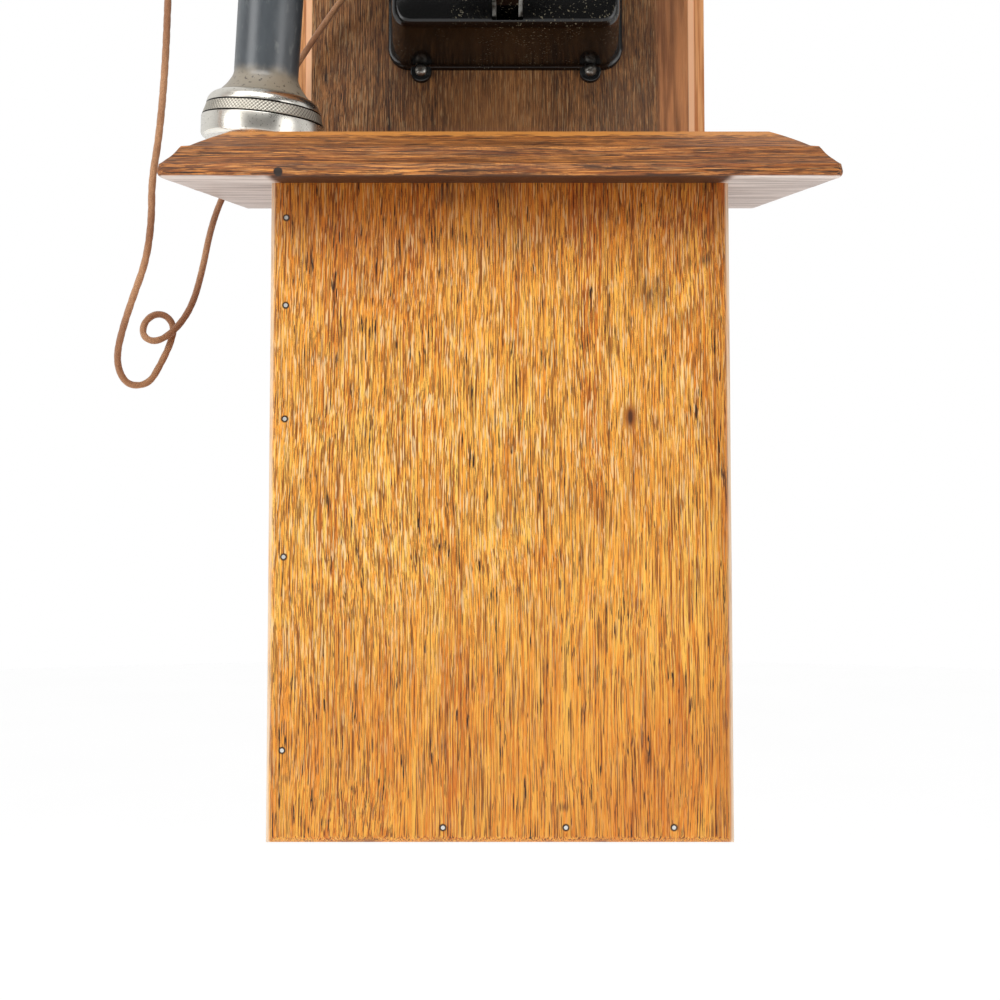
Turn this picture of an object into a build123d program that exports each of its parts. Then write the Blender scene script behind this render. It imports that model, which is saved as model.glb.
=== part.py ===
"""Magneto wall telephone: oak ringer box, backboard and battery box, with their works.

Millimetres. +X right, +Y into the wall, +Z up. The origin is the centre of the four wall-screw
holes, on the wall plane. Heights written up(h) are measured from the battery box's lower edge.
"""

import math
import os

from build123d import *

# ---------------------------------------------------------------- driving sizes
FLOOR_Z = -528.0            # lower edge of the battery box, in the row's frame
RUN = 0.1                   # radial clearance of a running pin or shaft, and of a seated head
SEAT = 0.3                  # gap under a piece that only rests or swings near its seat

BOARD_HALF_WIDTH = 126.8
BOARD_THICK = 19.0
BOARD_RIM, BOARD_RIM_THICK = 6.8, 13.0      # thinner rim outside the bevelled field
BOARD_BEVEL, BOARD_EDGE = 4.5, 1.0
BOARD_BELOW = 20.0          # how far the backboard runs on under the battery box
BOARD_TOP = 830.0
WALL_HOLE_R = 2.6
WALL_HOLE_X = 90.0
WALL_HOLE_LOW, WALL_HOLE_HIGH = 251.0, 805.0

BOX_WIDTH = 218.6
BOX_DEPTH = 162.0           # from the backboard's face to the battery box's front face
BOX_WALL = 12.0
BOX_EDGE_R = 4.0

SHELF_WIDTH = 314.0
SHELF_OVERHANG = 25.0
SHELF_SLOPE = math.radians(12.2)
SHELF_NOSE_UNDERSIDE = 305.4
SHELF_THICK = 25.2

BRAD_R, BRAD_DEPTH, BRAD_PROUD = 1.3, 1.5, 0.15
BRAD_LEFT_HEIGHTS = (43.0, 133.0, 198.0, 252.0, 294.0)
BRAD_LEFT_X = -101.5
BRAD_BOTTOM_X = (-26.5, 30.6, 80.8)
BRAD_BOTTOM_HEIGHT = 7.5

CELL_R, CELL_HEIGHT, CELL_X = 33.0, 152.0, 46.0

RINGER_BOX_HALF_WIDTH = 95.0
RINGER_BOX_LOW, RINGER_BOX_HIGH = 537.0, 776.0
RINGER_BOX_DEPTH = 149.0
RINGER_BOX_WALL = 10.0
DOOR_THICK = 15.5
TOP_BOARD_THICK, TOP_BOARD_OVERHANG = 12.0, 8.0

HINGE_HEIGHTS = (585.0, 728.0)
HINGE_LEAF, HINGE_KNUCKLE_R, HINGE_PIN_R, HINGE_LENGTH = 1.5, 3.5, 1.5, 36.0

GONG_R, GONG_DEPTH, GONG_WALL, GONG_SCREW_R = 31.75, 15.0, 1.6, 3.1
GONG_X, GONG_HEIGHT = 40.0, 722.0
CLAPPER_PIVOT_HEIGHT, CLAPPER_BALL_R, CLAPPER_ROD_R = 668.0, 4.5, 1.5

GEN_Y = -85.0               # depth of the generator's shafts
ARMATURE_HEIGHT = 672.0
GEAR_MODULE, GEAR_TEETH, PINION_TEETH = 1.25, 60, 12
GEAR_MESH_SLACK = 0.15
ARMATURE_R, ARMATURE_SHAFT_R, CRANK_SHAFT_R = 16.0, 3.0, 4.0
GEN_LEFT, GEN_RIGHT = -58.0, 33.0
MAGNET_OUTER, MAGNET_INNER, MAGNET_WIDTH = 36.0, 27.4, 24.0
CRANK_REACH = 50.0

CASE_CENTRE_X, CASE_FLANGE_WIDTH, CASE_BODY_WIDTH = 3.3, 143.8, 130.0
CASE_FLANGE_CORNER, CASE_BODY_CORNER, CASE_EDGE_R = 13.0, 11.0, 4.0
CASE_RIM = 2.9              # flange left showing above and below the body
CASE_LOW, CASE_FLANGE_HEIGHT, CASE_LIP = 431.7, 94.0, 3.0
CASE_DEPTH, CASE_WALL = 58.0, 3.0
CASE_EAR_X, CASE_EAR_R, CASE_EAR_DROP = (-48.4, 55.4), 6.6, 1.3
CASE_SCREW_R = 2.0
SLOT_WIDTH, SLOT_CENTRE_X = 17.7, 4.25
SLOT_LOW, SLOT_HIGH, SLOT_DEEP = 435.6, 484.0, 16.0

ARM_WIDTH = 12.7
ARM_PIVOT_Y, ARM_PIVOT_HEIGHT, ARM_PIN_R = -58.0, 457.0, 2.5
TRANSMITTER_Y, TRANSMITTER_HEIGHT = -190.0, 478.0
CUP_R, CUP_DEPTH, CUP_WALL = 33.0, 18.0, 2.0
DIAPHRAGM = 0.6
FACE_R, FACE_THICK = 34.5, 5.0
HORN_NECK_R, HORN_MOUTH_R, HORN_LENGTH, HORN_WALL = 9.0, 27.0, 36.0, 2.0

RECEIVER_FOOT = (-129.3, -102.15, 357.0)    # centre of the cap's lower face, height as up()
RECEIVER_LEAN_X, RECEIVER_LEAN_Y = 9.3, 5.0  # degrees: towards the front, towards the right
CAP_R, SKIRT_HEIGHT, KNURL_HEIGHT, KNURL_TAPER = 32.8, 11.5, 6.2, 2.2
CAP_WALL, CAP_FACE, CAP_HOLE_R = 5.4, 6.0, 9.0
RING_HEIGHT, RING_TAPER, RING_WIDE = 6.7, 5.9, 9.0
FLARE_HEIGHT, SHELL_WALL, SHELL_FOOT_BORE_R = 10.2, 3.0, 15.6
BARREL_FOOT_R, BARREL_TOP_R, BARREL_LENGTH = 17.1, 14.4, 188.0
BARREL_STRAIGHT, BARREL_DOME, TAIL_SOCKET = 105.0, 6.0, 5.0
TAIL_NECK_R, TAIL_NECK_LENGTH, TAIL_BALL_R = 3.2, 18.0, 9.0
TERMINAL_HEIGHT, TERMINAL_REACH, TERMINAL_R = 177.0, 7.0, 3.4
CAP_HEIGHT = SKIRT_HEIGHT + KNURL_HEIGHT

FORK_THICK, FORK_HALF_SLOT, FORK_HALF_WIDTH = 3.0, 5.6, 12.0
HOOK_PIVOT_X, HOOK_HUB_R, HOOK_PIN_R = -52.0, 4.5, 2.0
HOOK_EAR, HOOK_PLATE = 6.3, 2.0      # from the lever's middle to an ear, and the sheet's thickness

CORD_DIAMETER = 3.7
CORD_RECEIVER_POINTS = (
    (-130.2, -130.8, 532.5), (-142.0, -131.1, 533.4), (-154.0, -131.6, 530.6), (-163.5, -132.8, 521.0),
    (-168.2, -135.0, 501.5), (-169.8, -137.6, 470.0), (-170.8, -139.2, 425.0), (-171.6, -139.8, 385.2),
    (-174.2, -140.0, 348.0), (-178.2, -138.8, 325.0), (-178.4, -137.0, 305.0), (-182.0, -133.5, 285.0),
    (-190.4, -127.0, 268.0), (-198.0, -119.0, 253.5), (-203.6, -111.4, 240.4), (-203.6, -106.4, 231.0),
    (-199.2, -102.8, 224.6), (-194.6, -100.4, 225.5),
)
CORD_CASE_POINTS = (
    (-194.6, -100.4, 225.5), (-190.0, -98.0, 226.4), (-184.9, -94.3, 238.0), (-181.0, -90.4, 249.4),
    (-179.4, -88.0, 259.2), (-183.2, -89.2, 265.6), (-189.6, -91.6, 266.2), (-194.6, -94.4, 260.4),
    (-194.4, -96.4, 252.4), (-187.0, -96.8, 249.2), (-177.8, -93.2, 256.2), (-170.6, -85.0, 271.4),
    (-167.8, -74.6, 294.0), (-166.6, -62.0, 321.0), (-163.2, -47.8, 345.0), (-151.0, -37.2, 376.0),
    (-134.6, -31.4, 410.4), (-117.4, -29.0, 440.6), (-99.6, -29.6, 466.6), (-83.6, -35.4, 484.6),
    (-72.0, -43.4, 494.4), (-62.6, -46.0, 495.8),
)
GROMMET_Y, GROMMET_HEIGHT, GROMMET_R = -46.0, 495.8, 3.5


# ---------------------------------------------------------------- helpers
def up(height):
    """Row Z of a height measured from the battery box's lower edge."""
    return FLOOR_Z + height


def block(x0, x1, y0, y1, h0, h1):
    """Box between two X, two Y and two heights."""
    size = (x1 - x0, y1 - y0, h1 - h0)
    return Pos((x0 + x1) / 2, (y0 + y1) / 2, up((h0 + h1) / 2)) * Box(*size)


def rod_x(x0, x1, y, height, r):
    """Round bar along X."""
    return Pos((x0 + x1) / 2, y, up(height)) * Rot(0, 90, 0) * Cylinder(r, abs(x1 - x0))


def rod_y(x, y0, y1, height, r):
    """Round bar along Y."""
    return Pos(x, (y0 + y1) / 2, up(height)) * Rot(90, 0, 0) * Cylinder(r, abs(y1 - y0))


def rod_z(x, y, h0, h1, r):
    """Round bar along Z."""
    return Pos(x, y, up((h0 + h1) / 2)) * Cylinder(r, h1 - h0)


def prism_x(points, x0, x1):
    """Polygon of (y, height) points run along X."""
    outline = Polyline(*[(y, up(h)) for y, h in points], close=True)
    return extrude(Plane.YZ.offset(x0) * make_face(outline), x1 - x0)


def turned(points):
    """Solid of revolution about Z from (r, z) points; four values are an arc: bulge point, end point."""
    edges = []
    here = points[0]
    for step in points[1:]:
        if len(step) == 4:
            edges.append(ThreePointArc(here, step[:2], step[2:]))
        else:
            edges.append(Line(here, step))
        here = step[-2:]
    edges.append(Line(here, points[0]))
    return revolve(Plane.XZ * make_face(edges), Axis.Z)


def facing_front(x, y, height):
    """Place a turned piece so that its own +Z points to the front."""
    return Pos(x, y, up(height)) * Rot(90, 0, 0)


def group(*solids):
    """Several separate solids in one node."""
    return Compound(children=[piece for item in solids for piece in item.solids()])


def gear_profile(teeth, module, centre_y, centre_height, phase):
    """Straight-flanked gear outline as (y, height) points, a tooth centred at the phase angle."""
    pitch_r = teeth * module / 2
    tip_r, root_r = pitch_r + 0.8 * module, pitch_r - 1.1 * module
    step = 2 * math.pi / teeth
    points = []
    for tooth in range(teeth):
        centre = phase + tooth * step
        for offset, r in ((-0.26, root_r), (-0.10, tip_r), (0.10, tip_r), (0.26, root_r)):
            angle = centre + offset * step
            points.append((centre_y + r * math.cos(angle), centre_height + r * math.sin(angle)))
    return points


# ---------------------------------------------------------------- oak case
FACE_Y = -BOARD_THICK
BOX_FRONT_Y = FACE_Y - BOX_DEPTH
NOSE_Y = BOX_FRONT_Y - SHELF_OVERHANG
BOX_HALF = BOX_WIDTH / 2
SHELF_HALF = SHELF_WIDTH / 2


def shelf_underside(y):
    """Height of the writing shelf's underside at depth y."""
    return SHELF_NOSE_UNDERSIDE + math.tan(SHELF_SLOPE) * (y - NOSE_Y)


def backboard():
    """Bevelled field on a thinner rim, with the four wall-screw holes."""
    half, low, high, rim = BOARD_HALF_WIDTH, -BOARD_BELOW, BOARD_TOP, BOARD_RIM
    field = block(-half + rim, half - rim, FACE_Y, 0, low + rim, high - rim)
    field = chamfer(field.faces().sort_by(Axis.Y)[0].edges(), BOARD_BEVEL)
    base = block(-half, half, -BOARD_RIM_THICK, 0, low, high)
    base = fillet(base.faces().sort_by(Axis.Y)[0].edges(), BOARD_EDGE)
    board = base + field
    for x in (-WALL_HOLE_X, WALL_HOLE_X):
        for height in (WALL_HOLE_LOW, WALL_HOLE_HIGH):
            board -= rod_y(x, FACE_Y - 1, 1, height, WALL_HOLE_R)
    return board


def battery_side(x0, x1):
    rear, front = FACE_Y, BOX_FRONT_Y + BOX_WALL
    outline = [(front, 0), (rear, 0), (rear, shelf_underside(rear)), (front, shelf_underside(front))]
    return prism_x(outline, x0, x1)


def battery_bottom():
    half = BOX_HALF - BOX_WALL
    return block(-half, half, BOX_FRONT_Y + BOX_WALL, FACE_Y, 0, BOX_WALL)


def battery_front():
    rear, front = BOX_FRONT_Y + BOX_WALL, BOX_FRONT_Y
    outline = [(front, 0), (rear, 0), (rear, shelf_underside(rear)), (front, shelf_underside(front))]
    panel = prism_x(outline, -BOX_HALF, BOX_HALF)
    outer = panel.faces().sort_by(Axis.Y)[0].edges()
    lower = outer.sort_by(Axis.Z)[0]
    uprights = outer.filter_by(Axis.Z)
    panel = fillet([lower, *uprights], BOX_EDGE_R)
    for x, height in brad_places():
        panel -= rod_y(x, BOX_FRONT_Y - 1, BOX_FRONT_Y + BRAD_DEPTH + RUN, height, BRAD_R + RUN)
    return panel


def brad_places():
    left = [(BRAD_LEFT_X, height) for height in BRAD_LEFT_HEIGHTS]
    return left + [(x, BRAD_BOTTOM_HEIGHT) for x in BRAD_BOTTOM_X]


def front_brads():
    face, foot = BOX_FRONT_Y - BRAD_PROUD, BOX_FRONT_Y + BRAD_DEPTH
    return group(*[rod_y(x, face, foot, height, BRAD_R) for x, height in brad_places()])


MOULDING = (((3.0, 0.0), (0.7, 1.1), (0.0, 3.5)), ((0.7, 6.6),), ((4.6, 9.5), (8.2, 14.3)),
            ((9.2, 15.7),), ((12.4, 16.4),), ((21.7, 22.0), (28.0, SHELF_THICK)))


def moulding_face(plane, run, slope, mirror_at=None):
    """Moulded slab section: inward distance and height above the sloped underside."""
    def place(point):
        u, v = point
        return (u, v + slope * u)

    start, bulge, end = MOULDING[0]
    edges = [ThreePointArc(place(start), place(bulge), place(end))]
    here = end
    for step in MOULDING[1:]:
        if len(step) == 2:
            edges.append(ThreePointArc(place(here), place(step[0]), place(step[1])))
        else:
            edges.append(Line(place(here), place(step[0])))
        here = step[-1]
    if mirror_at is None:
        far_top, far_low = place((run, SHELF_THICK)), place((run, 0.0))
        edges += [Line(place(here), far_top), Line(far_top, far_low), Line(far_low, place(start))]
        return plane * make_face(edges)
    half = list(edges)
    half += [Line(place(here), (mirror_at, SHELF_THICK)), Line((mirror_at, 0), place(start)),
             Line((mirror_at, SHELF_THICK), (mirror_at, 0))]
    return plane * make_face(half)


def writing_shelf():
    slope = math.tan(SHELF_SLOPE)
    depth = FACE_Y - NOSE_Y
    corner = (-SHELF_HALF, NOSE_Y, up(SHELF_NOSE_UNDERSIDE))
    side_view = Plane(origin=corner, x_dir=(0, 1, 0), z_dir=(1, 0, 0))
    across = extrude(moulding_face(side_view, depth, slope), SHELF_WIDTH)
    halves = []
    for sign in (-1, 1):
        view = Plane(origin=(sign * SHELF_HALF, NOSE_Y, up(SHELF_NOSE_UNDERSIDE)),
                     x_dir=(-sign, 0, 0), z_dir=(0, sign, 0))
        section = moulding_face(view, 0, 0.0, SHELF_HALF)
        halves.append(extrude(section, depth / math.cos(SHELF_SLOPE), dir=(0, 1, slope)))
    return across & (halves[0] + halves[1])


def dry_cell(sign):
    x, y = sign * CELL_X, (FACE_Y + BOX_FRONT_Y + BOX_WALL) / 2
    can = fillet(rod_z(x, y, BOX_WALL, BOX_WALL + CELL_HEIGHT, CELL_R).edges(), 2.0)
    return can


def cell_terminals():
    y = (FACE_Y + BOX_FRONT_Y + BOX_WALL) / 2
    top = BOX_WALL + CELL_HEIGHT
    posts = []
    for sign in (-1, 1):
        for x in (sign * CELL_X, sign * (CELL_X + 24)):
            post = rod_z(x, y, top, top + 5, 4.0) + rod_z(x, y, top + 5, top + 13, 2.0)
            posts.append(post + rod_z(x, y, top + 8, top + 12, 4.2))
    return group(*posts)


def ringer_box_sides():
    """Left side with the hook's slot, and right side with the crank's hole."""
    half, wall = RINGER_BOX_HALF_WIDTH, RINGER_BOX_WALL
    rear, front = FACE_Y, FACE_Y - RINGER_BOX_DEPTH
    left = block(-half, -half + wall, front, rear, RINGER_BOX_LOW, RINGER_BOX_HIGH)
    ball = receiver_point(tail_ball_height())
    slot_low = fork_top() - 4 - 1.2
    left -= block(-half - 1, -half + wall + 1, ball.Y - 5, ball.Y + 5, slot_low, slot_low + 16)
    right = block(half - wall, half, front, rear, RINGER_BOX_LOW, RINGER_BOX_HIGH)
    right -= rod_x(half - wall - 1, half + 1, GEN_Y, gear_height(), CRANK_SHAFT_R + 3)
    return left, right


def ringer_box_floor():
    inner = RINGER_BOX_HALF_WIDTH - RINGER_BOX_WALL
    return block(-inner, inner, FACE_Y - RINGER_BOX_DEPTH, FACE_Y, RINGER_BOX_LOW,
                 RINGER_BOX_LOW + RINGER_BOX_WALL)


def ringer_box_top():
    half = RINGER_BOX_HALF_WIDTH + TOP_BOARD_OVERHANG
    front = FACE_Y - RINGER_BOX_DEPTH - DOOR_THICK - TOP_BOARD_OVERHANG
    board = block(-half, half, front, FACE_Y, RINGER_BOX_HIGH, RINGER_BOX_HIGH + TOP_BOARD_THICK)
    edges = board.faces().sort_by(Axis.Z)[-1].edges()
    rim = [edge for edge in edges if edge.center().Y < FACE_Y - 1]
    return fillet(rim, 7.0)


DOOR_BACK_Y = FACE_Y - RINGER_BOX_DEPTH - SEAT
DOOR_FRONT_Y = DOOR_BACK_Y - DOOR_THICK


def ringer_box_door():
    half = RINGER_BOX_HALF_WIDTH
    door = block(-half, half, DOOR_FRONT_Y, DOOR_BACK_Y, RINGER_BOX_LOW + 0.5, RINGER_BOX_HIGH - 0.5)
    door = fillet(door.faces().sort_by(Axis.Y)[0].edges(), 3.0)
    door -= block(-7.5, 7.5, DOOR_FRONT_Y - 1, DOOR_BACK_Y + 1, GONG_HEIGHT - 8, GONG_HEIGHT + 8)
    return door


def hinge_axis():
    return RINGER_BOX_HALF_WIDTH + HINGE_LEAF + HINGE_KNUCKLE_R - 0.5, DOOR_BACK_Y + SEAT / 2


def hinge_leaves():
    """Fixed leaves with their pins, and the door's leaves with the middle knuckles."""
    x, y = hinge_axis()
    side = RINGER_BOX_HALF_WIDTH
    fixed, moving = [], []
    third = HINGE_LENGTH / 3
    for middle in HINGE_HEIGHTS:
        low, high = middle - HINGE_LENGTH / 2, middle + HINGE_LENGTH / 2
        leaf = block(side, side + HINGE_LEAF, y + 0.5, y + 20, low, high)
        leaf -= rod_z(x, y, low + third, high - third, HINGE_KNUCKLE_R + 0.4)
        for h0 in (low, high - third):
            leaf += rod_z(x, y, h0, h0 + third, HINGE_KNUCKLE_R)
            leaf += block(side, x, y + 0.5, y + HINGE_KNUCKLE_R, h0, h0 + third)
        leaf += rod_z(x, y, low - 2, high + 2, HINGE_PIN_R)
        fixed.append(leaf)
        flap = block(side, side + HINGE_LEAF, y - 15, y - 0.5, low, high)
        for h0 in (low, high - third):
            flap -= rod_z(x, y, h0 - 1, h0 + third + 1, HINGE_KNUCKLE_R + 0.4)
        flap += block(side, x, y - HINGE_KNUCKLE_R, y - 0.5, low + third + 0.3, high - third - 0.3)
        flap += rod_z(x, y, low + third + 0.3, high - third - 0.3, HINGE_KNUCKLE_R)
        flap -= rod_z(x, y, low, high, HINGE_PIN_R + 0.05)
        moving.append(flap)
    return group(*fixed), group(*moving)


def door_knob():
    knob = turned([(0, 0), (9, 0), (9, 2), (4, 3), (3.5, 8), (8, 10, 9, 12.5), (8.2, 15.5, 5, 17), (0, 17)])
    return facing_front(-RINGER_BOX_HALF_WIDTH + 15, DOOR_FRONT_Y, 650) * knob


# ---------------------------------------------------------------- bells on the door
GONG_RIM_Y = DOOR_FRONT_Y - 4.0


def gong(sign):
    """Dished bell, its rim towards the door and its crown to the front."""
    r, depth, wall, bore = GONG_R, GONG_DEPTH, GONG_WALL, GONG_SCREW_R + RUN
    shell = turned([
        (r, 0),
        (r - 0.6, 4, r - 5, 8.5),
        (18, depth - 0.8, 6, depth),
        (bore, depth),
        (bore, depth - wall),
        (6, depth - wall),
        (17.4, depth - 0.8 - wall, r - 6.3, 7.4),
        (r - wall - 0.7, 3.6, r - wall, 0),
    ])
    return facing_front(sign * GONG_X, GONG_RIM_Y, GONG_HEIGHT) * shell


def gong_posts():
    posts = []
    crown = GONG_DEPTH + DOOR_FRONT_Y - GONG_RIM_Y
    for sign in (-1, 1):
        post = turned([(0, 0), (7, 0), (7, 1.5), (4.5, 2.5), (4.5, crown - GONG_WALL),
                       (GONG_SCREW_R, crown - GONG_WALL), (GONG_SCREW_R, crown), (5.2, crown),
                       (5.2, crown + 2.6), (4.2, crown + 3.6), (0, crown + 3.6)])
        posts.append(facing_front(sign * GONG_X, DOOR_FRONT_Y, GONG_HEIGHT) * post)
    return group(*posts)


def ringer_frame():
    """Plate on the door's back, lower yoke, and the clapper's pivot pin."""
    plate = block(-34, 34, DOOR_BACK_Y, DOOR_BACK_Y + 3, 608, 684)
    plate += block(-34, 34, DOOR_BACK_Y, DOOR_BACK_Y + 32, 608, 613)
    plate += rod_y(0, DOOR_BACK_Y + 3, DOOR_BACK_Y + 30, CLAPPER_PIVOT_HEIGHT, HINGE_PIN_R)
    return plate


COIL_Y = DOOR_BACK_Y + 18.0


def ringer_coils():
    coils = []
    for x in (-20, 20):
        coil = rod_z(x, COIL_Y, 613, 616, 13) + rod_z(x, COIL_Y, 616, 650, 11)
        coils.append(coil + rod_z(x, COIL_Y, 650, 653, 13) + rod_z(x, COIL_Y, 653, 656, 5))
    return group(*coils)


def clapper():
    """Armature bar, hub on the pivot pin, bent rod and ball."""
    bar = block(-28, 28, COIL_Y - 5, COIL_Y + 5, CLAPPER_PIVOT_HEIGHT - 6, CLAPPER_PIVOT_HEIGHT - 2)
    bar += rod_y(0, COIL_Y - 5, COIL_Y + 5, CLAPPER_PIVOT_HEIGHT, 4)
    bar += rod_z(0, COIL_Y, CLAPPER_PIVOT_HEIGHT + 3, GONG_HEIGHT + CLAPPER_ROD_R, CLAPPER_ROD_R)
    ball_y = GONG_RIM_Y - 7
    bar += rod_y(0, ball_y, COIL_Y, GONG_HEIGHT, CLAPPER_ROD_R)
    bar += Pos(0, ball_y, up(GONG_HEIGHT)) * Sphere(CLAPPER_BALL_R)
    return bar - rod_y(0, COIL_Y - 6, COIL_Y + 6, CLAPPER_PIVOT_HEIGHT, HINGE_PIN_R + 0.05)


# ---------------------------------------------------------------- hand generator
BED_THICK = 3.0
BED_TOP = ARMATURE_HEIGHT - 22.0
SHELF_BOARD_THICK = 10.0


def gear_height():
    """Height of the drive gear's shaft, in mesh above the pinion."""
    return ARMATURE_HEIGHT + GEAR_MODULE * (GEAR_TEETH + PINION_TEETH) / 2 + GEAR_MESH_SLACK


def generator_shelf():
    inner = RINGER_BOX_HALF_WIDTH - RINGER_BOX_WALL
    top = BED_TOP - BED_THICK
    return block(-inner, inner, GEN_Y - 42, FACE_Y, top - SHELF_BOARD_THICK, top)


def generator_bed():
    return block(GEN_LEFT - 6, GEN_RIGHT + 6, GEN_Y - 38, GEN_Y + 38, BED_TOP - BED_THICK, BED_TOP)


def magnets():
    """Three horseshoe magnets straddling the armature."""
    shoes = []
    bow = gear_height() - 6
    room = GEN_RIGHT - GEN_LEFT - 8
    for index in range(3):
        x0 = GEN_LEFT + 4 + room * (index + 0.5) / 3 - MAGNET_WIDTH / 2
        x1 = x0 + MAGNET_WIDTH
        outer = rod_x(x0, x1, GEN_Y, bow, MAGNET_OUTER)
        outer += block(x0, x1, GEN_Y - MAGNET_OUTER, GEN_Y + MAGNET_OUTER, BED_TOP, bow)
        inner = rod_x(x0 - 1, x1 + 1, GEN_Y, bow, MAGNET_INNER)
        inner += block(x0 - 1, x1 + 1, GEN_Y - MAGNET_INNER, GEN_Y + MAGNET_INNER, BED_TOP - 1, bow)
        shoes.append(outer - inner)
    return group(*shoes)


def pole_pieces():
    """Two iron blocks bored round the armature, one each side."""
    reach = MAGNET_INNER - SEAT / 3
    blocks = []
    for side in (-1, 1):
        y0, y1 = sorted((GEN_Y + side * 5, GEN_Y + side * reach))
        piece = block(GEN_LEFT + 5, GEN_RIGHT - 5, y0, y1, BED_TOP, ARMATURE_HEIGHT + 16)
        blocks.append(piece - rod_x(GEN_LEFT, GEN_RIGHT, GEN_Y, ARMATURE_HEIGHT, ARMATURE_R + 0.4))
    return group(*blocks)


def generator_end(x0, x1):
    """Brass end plate with both bearings."""
    plate = block(x0, x1, GEN_Y - 30, GEN_Y + 30, BED_TOP, gear_height() + 14)
    corners = plate.edges().filter_by(Axis.X).sort_by(Axis.Z)[-2:]
    plate = fillet(corners, 12)
    plate -= rod_x(x0 - 1, x1 + 1, GEN_Y, ARMATURE_HEIGHT, ARMATURE_SHAFT_R + 0.05)
    return plate - rod_x(x0 - 1, x1 + 1, GEN_Y, gear_height(), CRANK_SHAFT_R + 0.05)


GEAR_X, GEAR_WIDTH = 46.0, 7.0


def armature():
    """Shuttle core on its shaft, slotted front and back for the winding."""
    core = rod_x(GEN_LEFT + 6, GEN_RIGHT - 6, GEN_Y, ARMATURE_HEIGHT, ARMATURE_R)
    for side in (-1, 1):
        y0, y1 = sorted((GEN_Y + side * 6, GEN_Y + side * (ARMATURE_R + 1)))
        core -= block(GEN_LEFT + 5, GEN_RIGHT - 5, y0, y1, ARMATURE_HEIGHT - 8, ARMATURE_HEIGHT + 8)
    return core + rod_x(GEN_LEFT - 5, GEAR_X + GEAR_WIDTH / 2 + 2, GEN_Y, ARMATURE_HEIGHT, ARMATURE_SHAFT_R)


def armature_winding():
    """Wire wound in the two slots, as one block each side of the core's web."""
    coils = []
    for side in (-1, 1):
        y0, y1 = sorted((GEN_Y + side * 6, GEN_Y + side * 12.5))
        coils.append(block(GEN_LEFT + 10, GEN_RIGHT - 10, y0, y1,
                           ARMATURE_HEIGHT - 7.8, ARMATURE_HEIGHT + 7.8))
    return group(*coils)


def pinion():
    phase = math.pi / 2 + math.pi / PINION_TEETH
    outline = gear_profile(PINION_TEETH, GEAR_MODULE, GEN_Y, ARMATURE_HEIGHT, phase)
    wheel = prism_x(outline, GEAR_X - GEAR_WIDTH / 2 - 1, GEAR_X + GEAR_WIDTH / 2 + 1)
    return wheel - rod_x(0, 90, GEN_Y, ARMATURE_HEIGHT, ARMATURE_SHAFT_R)


def drive_gear():
    """Large gear with a web and six lightening holes."""
    outline = gear_profile(GEAR_TEETH, GEAR_MODULE, GEN_Y, gear_height(), -math.pi / 2)
    x0, x1 = GEAR_X - GEAR_WIDTH / 2, GEAR_X + GEAR_WIDTH / 2
    wheel = prism_x(outline, x0, x1)
    rim_r = GEAR_TEETH * GEAR_MODULE / 2 - 5
    for face0, face1 in ((x0 - 1, x0 + 2), (x1 - 2, x1 + 1)):
        hub = rod_x(face0, face1, GEN_Y, gear_height(), 9)
        wheel -= rod_x(face0, face1, GEN_Y, gear_height(), rim_r) - hub
    for spoke in range(6):
        angle = math.radians(60 * spoke)
        wheel -= rod_x(x0, x1, GEN_Y + 21 * math.cos(angle), gear_height() + 21 * math.sin(angle), 6.5)
    return wheel - rod_x(x0 - 1, x1 + 1, GEN_Y, gear_height(), CRANK_SHAFT_R)


CRANK_ARM_X0, CRANK_ARM_X1 = 103.5, 109.5


def crank_shaft():
    shaft = rod_x(GEN_LEFT - 5, CRANK_ARM_X0, GEN_Y, gear_height(), CRANK_SHAFT_R)
    return shaft + rod_x(CRANK_ARM_X0 - 2, CRANK_ARM_X0, GEN_Y, gear_height(), CRANK_SHAFT_R + 2.5)


def crank_bushing():
    """Flanged sleeve in the ringer box's right side."""
    half = RINGER_BOX_HALF_WIDTH
    sleeve = rod_x(half - RINGER_BOX_WALL, half, GEN_Y, gear_height(), CRANK_SHAFT_R + 2.9)
    sleeve += rod_x(half, half + 2, GEN_Y, gear_height(), CRANK_SHAFT_R + 7)
    return sleeve - rod_x(half - 20, half + 5, GEN_Y, gear_height(), CRANK_SHAFT_R + 0.08)


def crank_arm():
    """Tapered arm from the shaft's boss down to the handle's pin."""
    low = gear_height() - CRANK_REACH
    arm = rod_x(CRANK_ARM_X0, CRANK_ARM_X1, GEN_Y, gear_height(), 9)
    arm += rod_x(CRANK_ARM_X0, CRANK_ARM_X1, GEN_Y, low, 6.5)
    outline = [(GEN_Y - 7, gear_height()), (GEN_Y - 5, low), (GEN_Y + 5, low), (GEN_Y + 7, gear_height())]
    arm += prism_x(outline, CRANK_ARM_X0, CRANK_ARM_X1)
    arm += rod_x(CRANK_ARM_X1, CRANK_ARM_X1 + 2.4, GEN_Y, gear_height(), 6)
    return arm + rod_x(CRANK_ARM_X1, CRANK_ARM_X1 + 46, GEN_Y, low, 2.5)


def crank_handle():
    """Turned wooden grip on the crank's pin."""
    grip = turned([(2.6, 0), (7, 0), (9.5, 12, 7.6, 26), (8.6, 40, 5, 45.5), (2.6, 45.5)])
    low = gear_height() - CRANK_REACH
    return Pos(CRANK_ARM_X1 + 0.3, GEN_Y, up(low)) * Rot(0, 90, 0) * grip


# ---------------------------------------------------------------- receiver and its hook
def receiver_place():
    """Leaning frame of the hanging receiver, from its cap's lower face."""
    x, y, height = RECEIVER_FOOT
    return Pos(x, y, up(height)) * Rot(RECEIVER_LEAN_X, RECEIVER_LEAN_Y, 0)


def receiver_point(along):
    """Row position of the point so far up the receiver's axis."""
    return (receiver_place() * Pos(0, 0, along)).position


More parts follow.
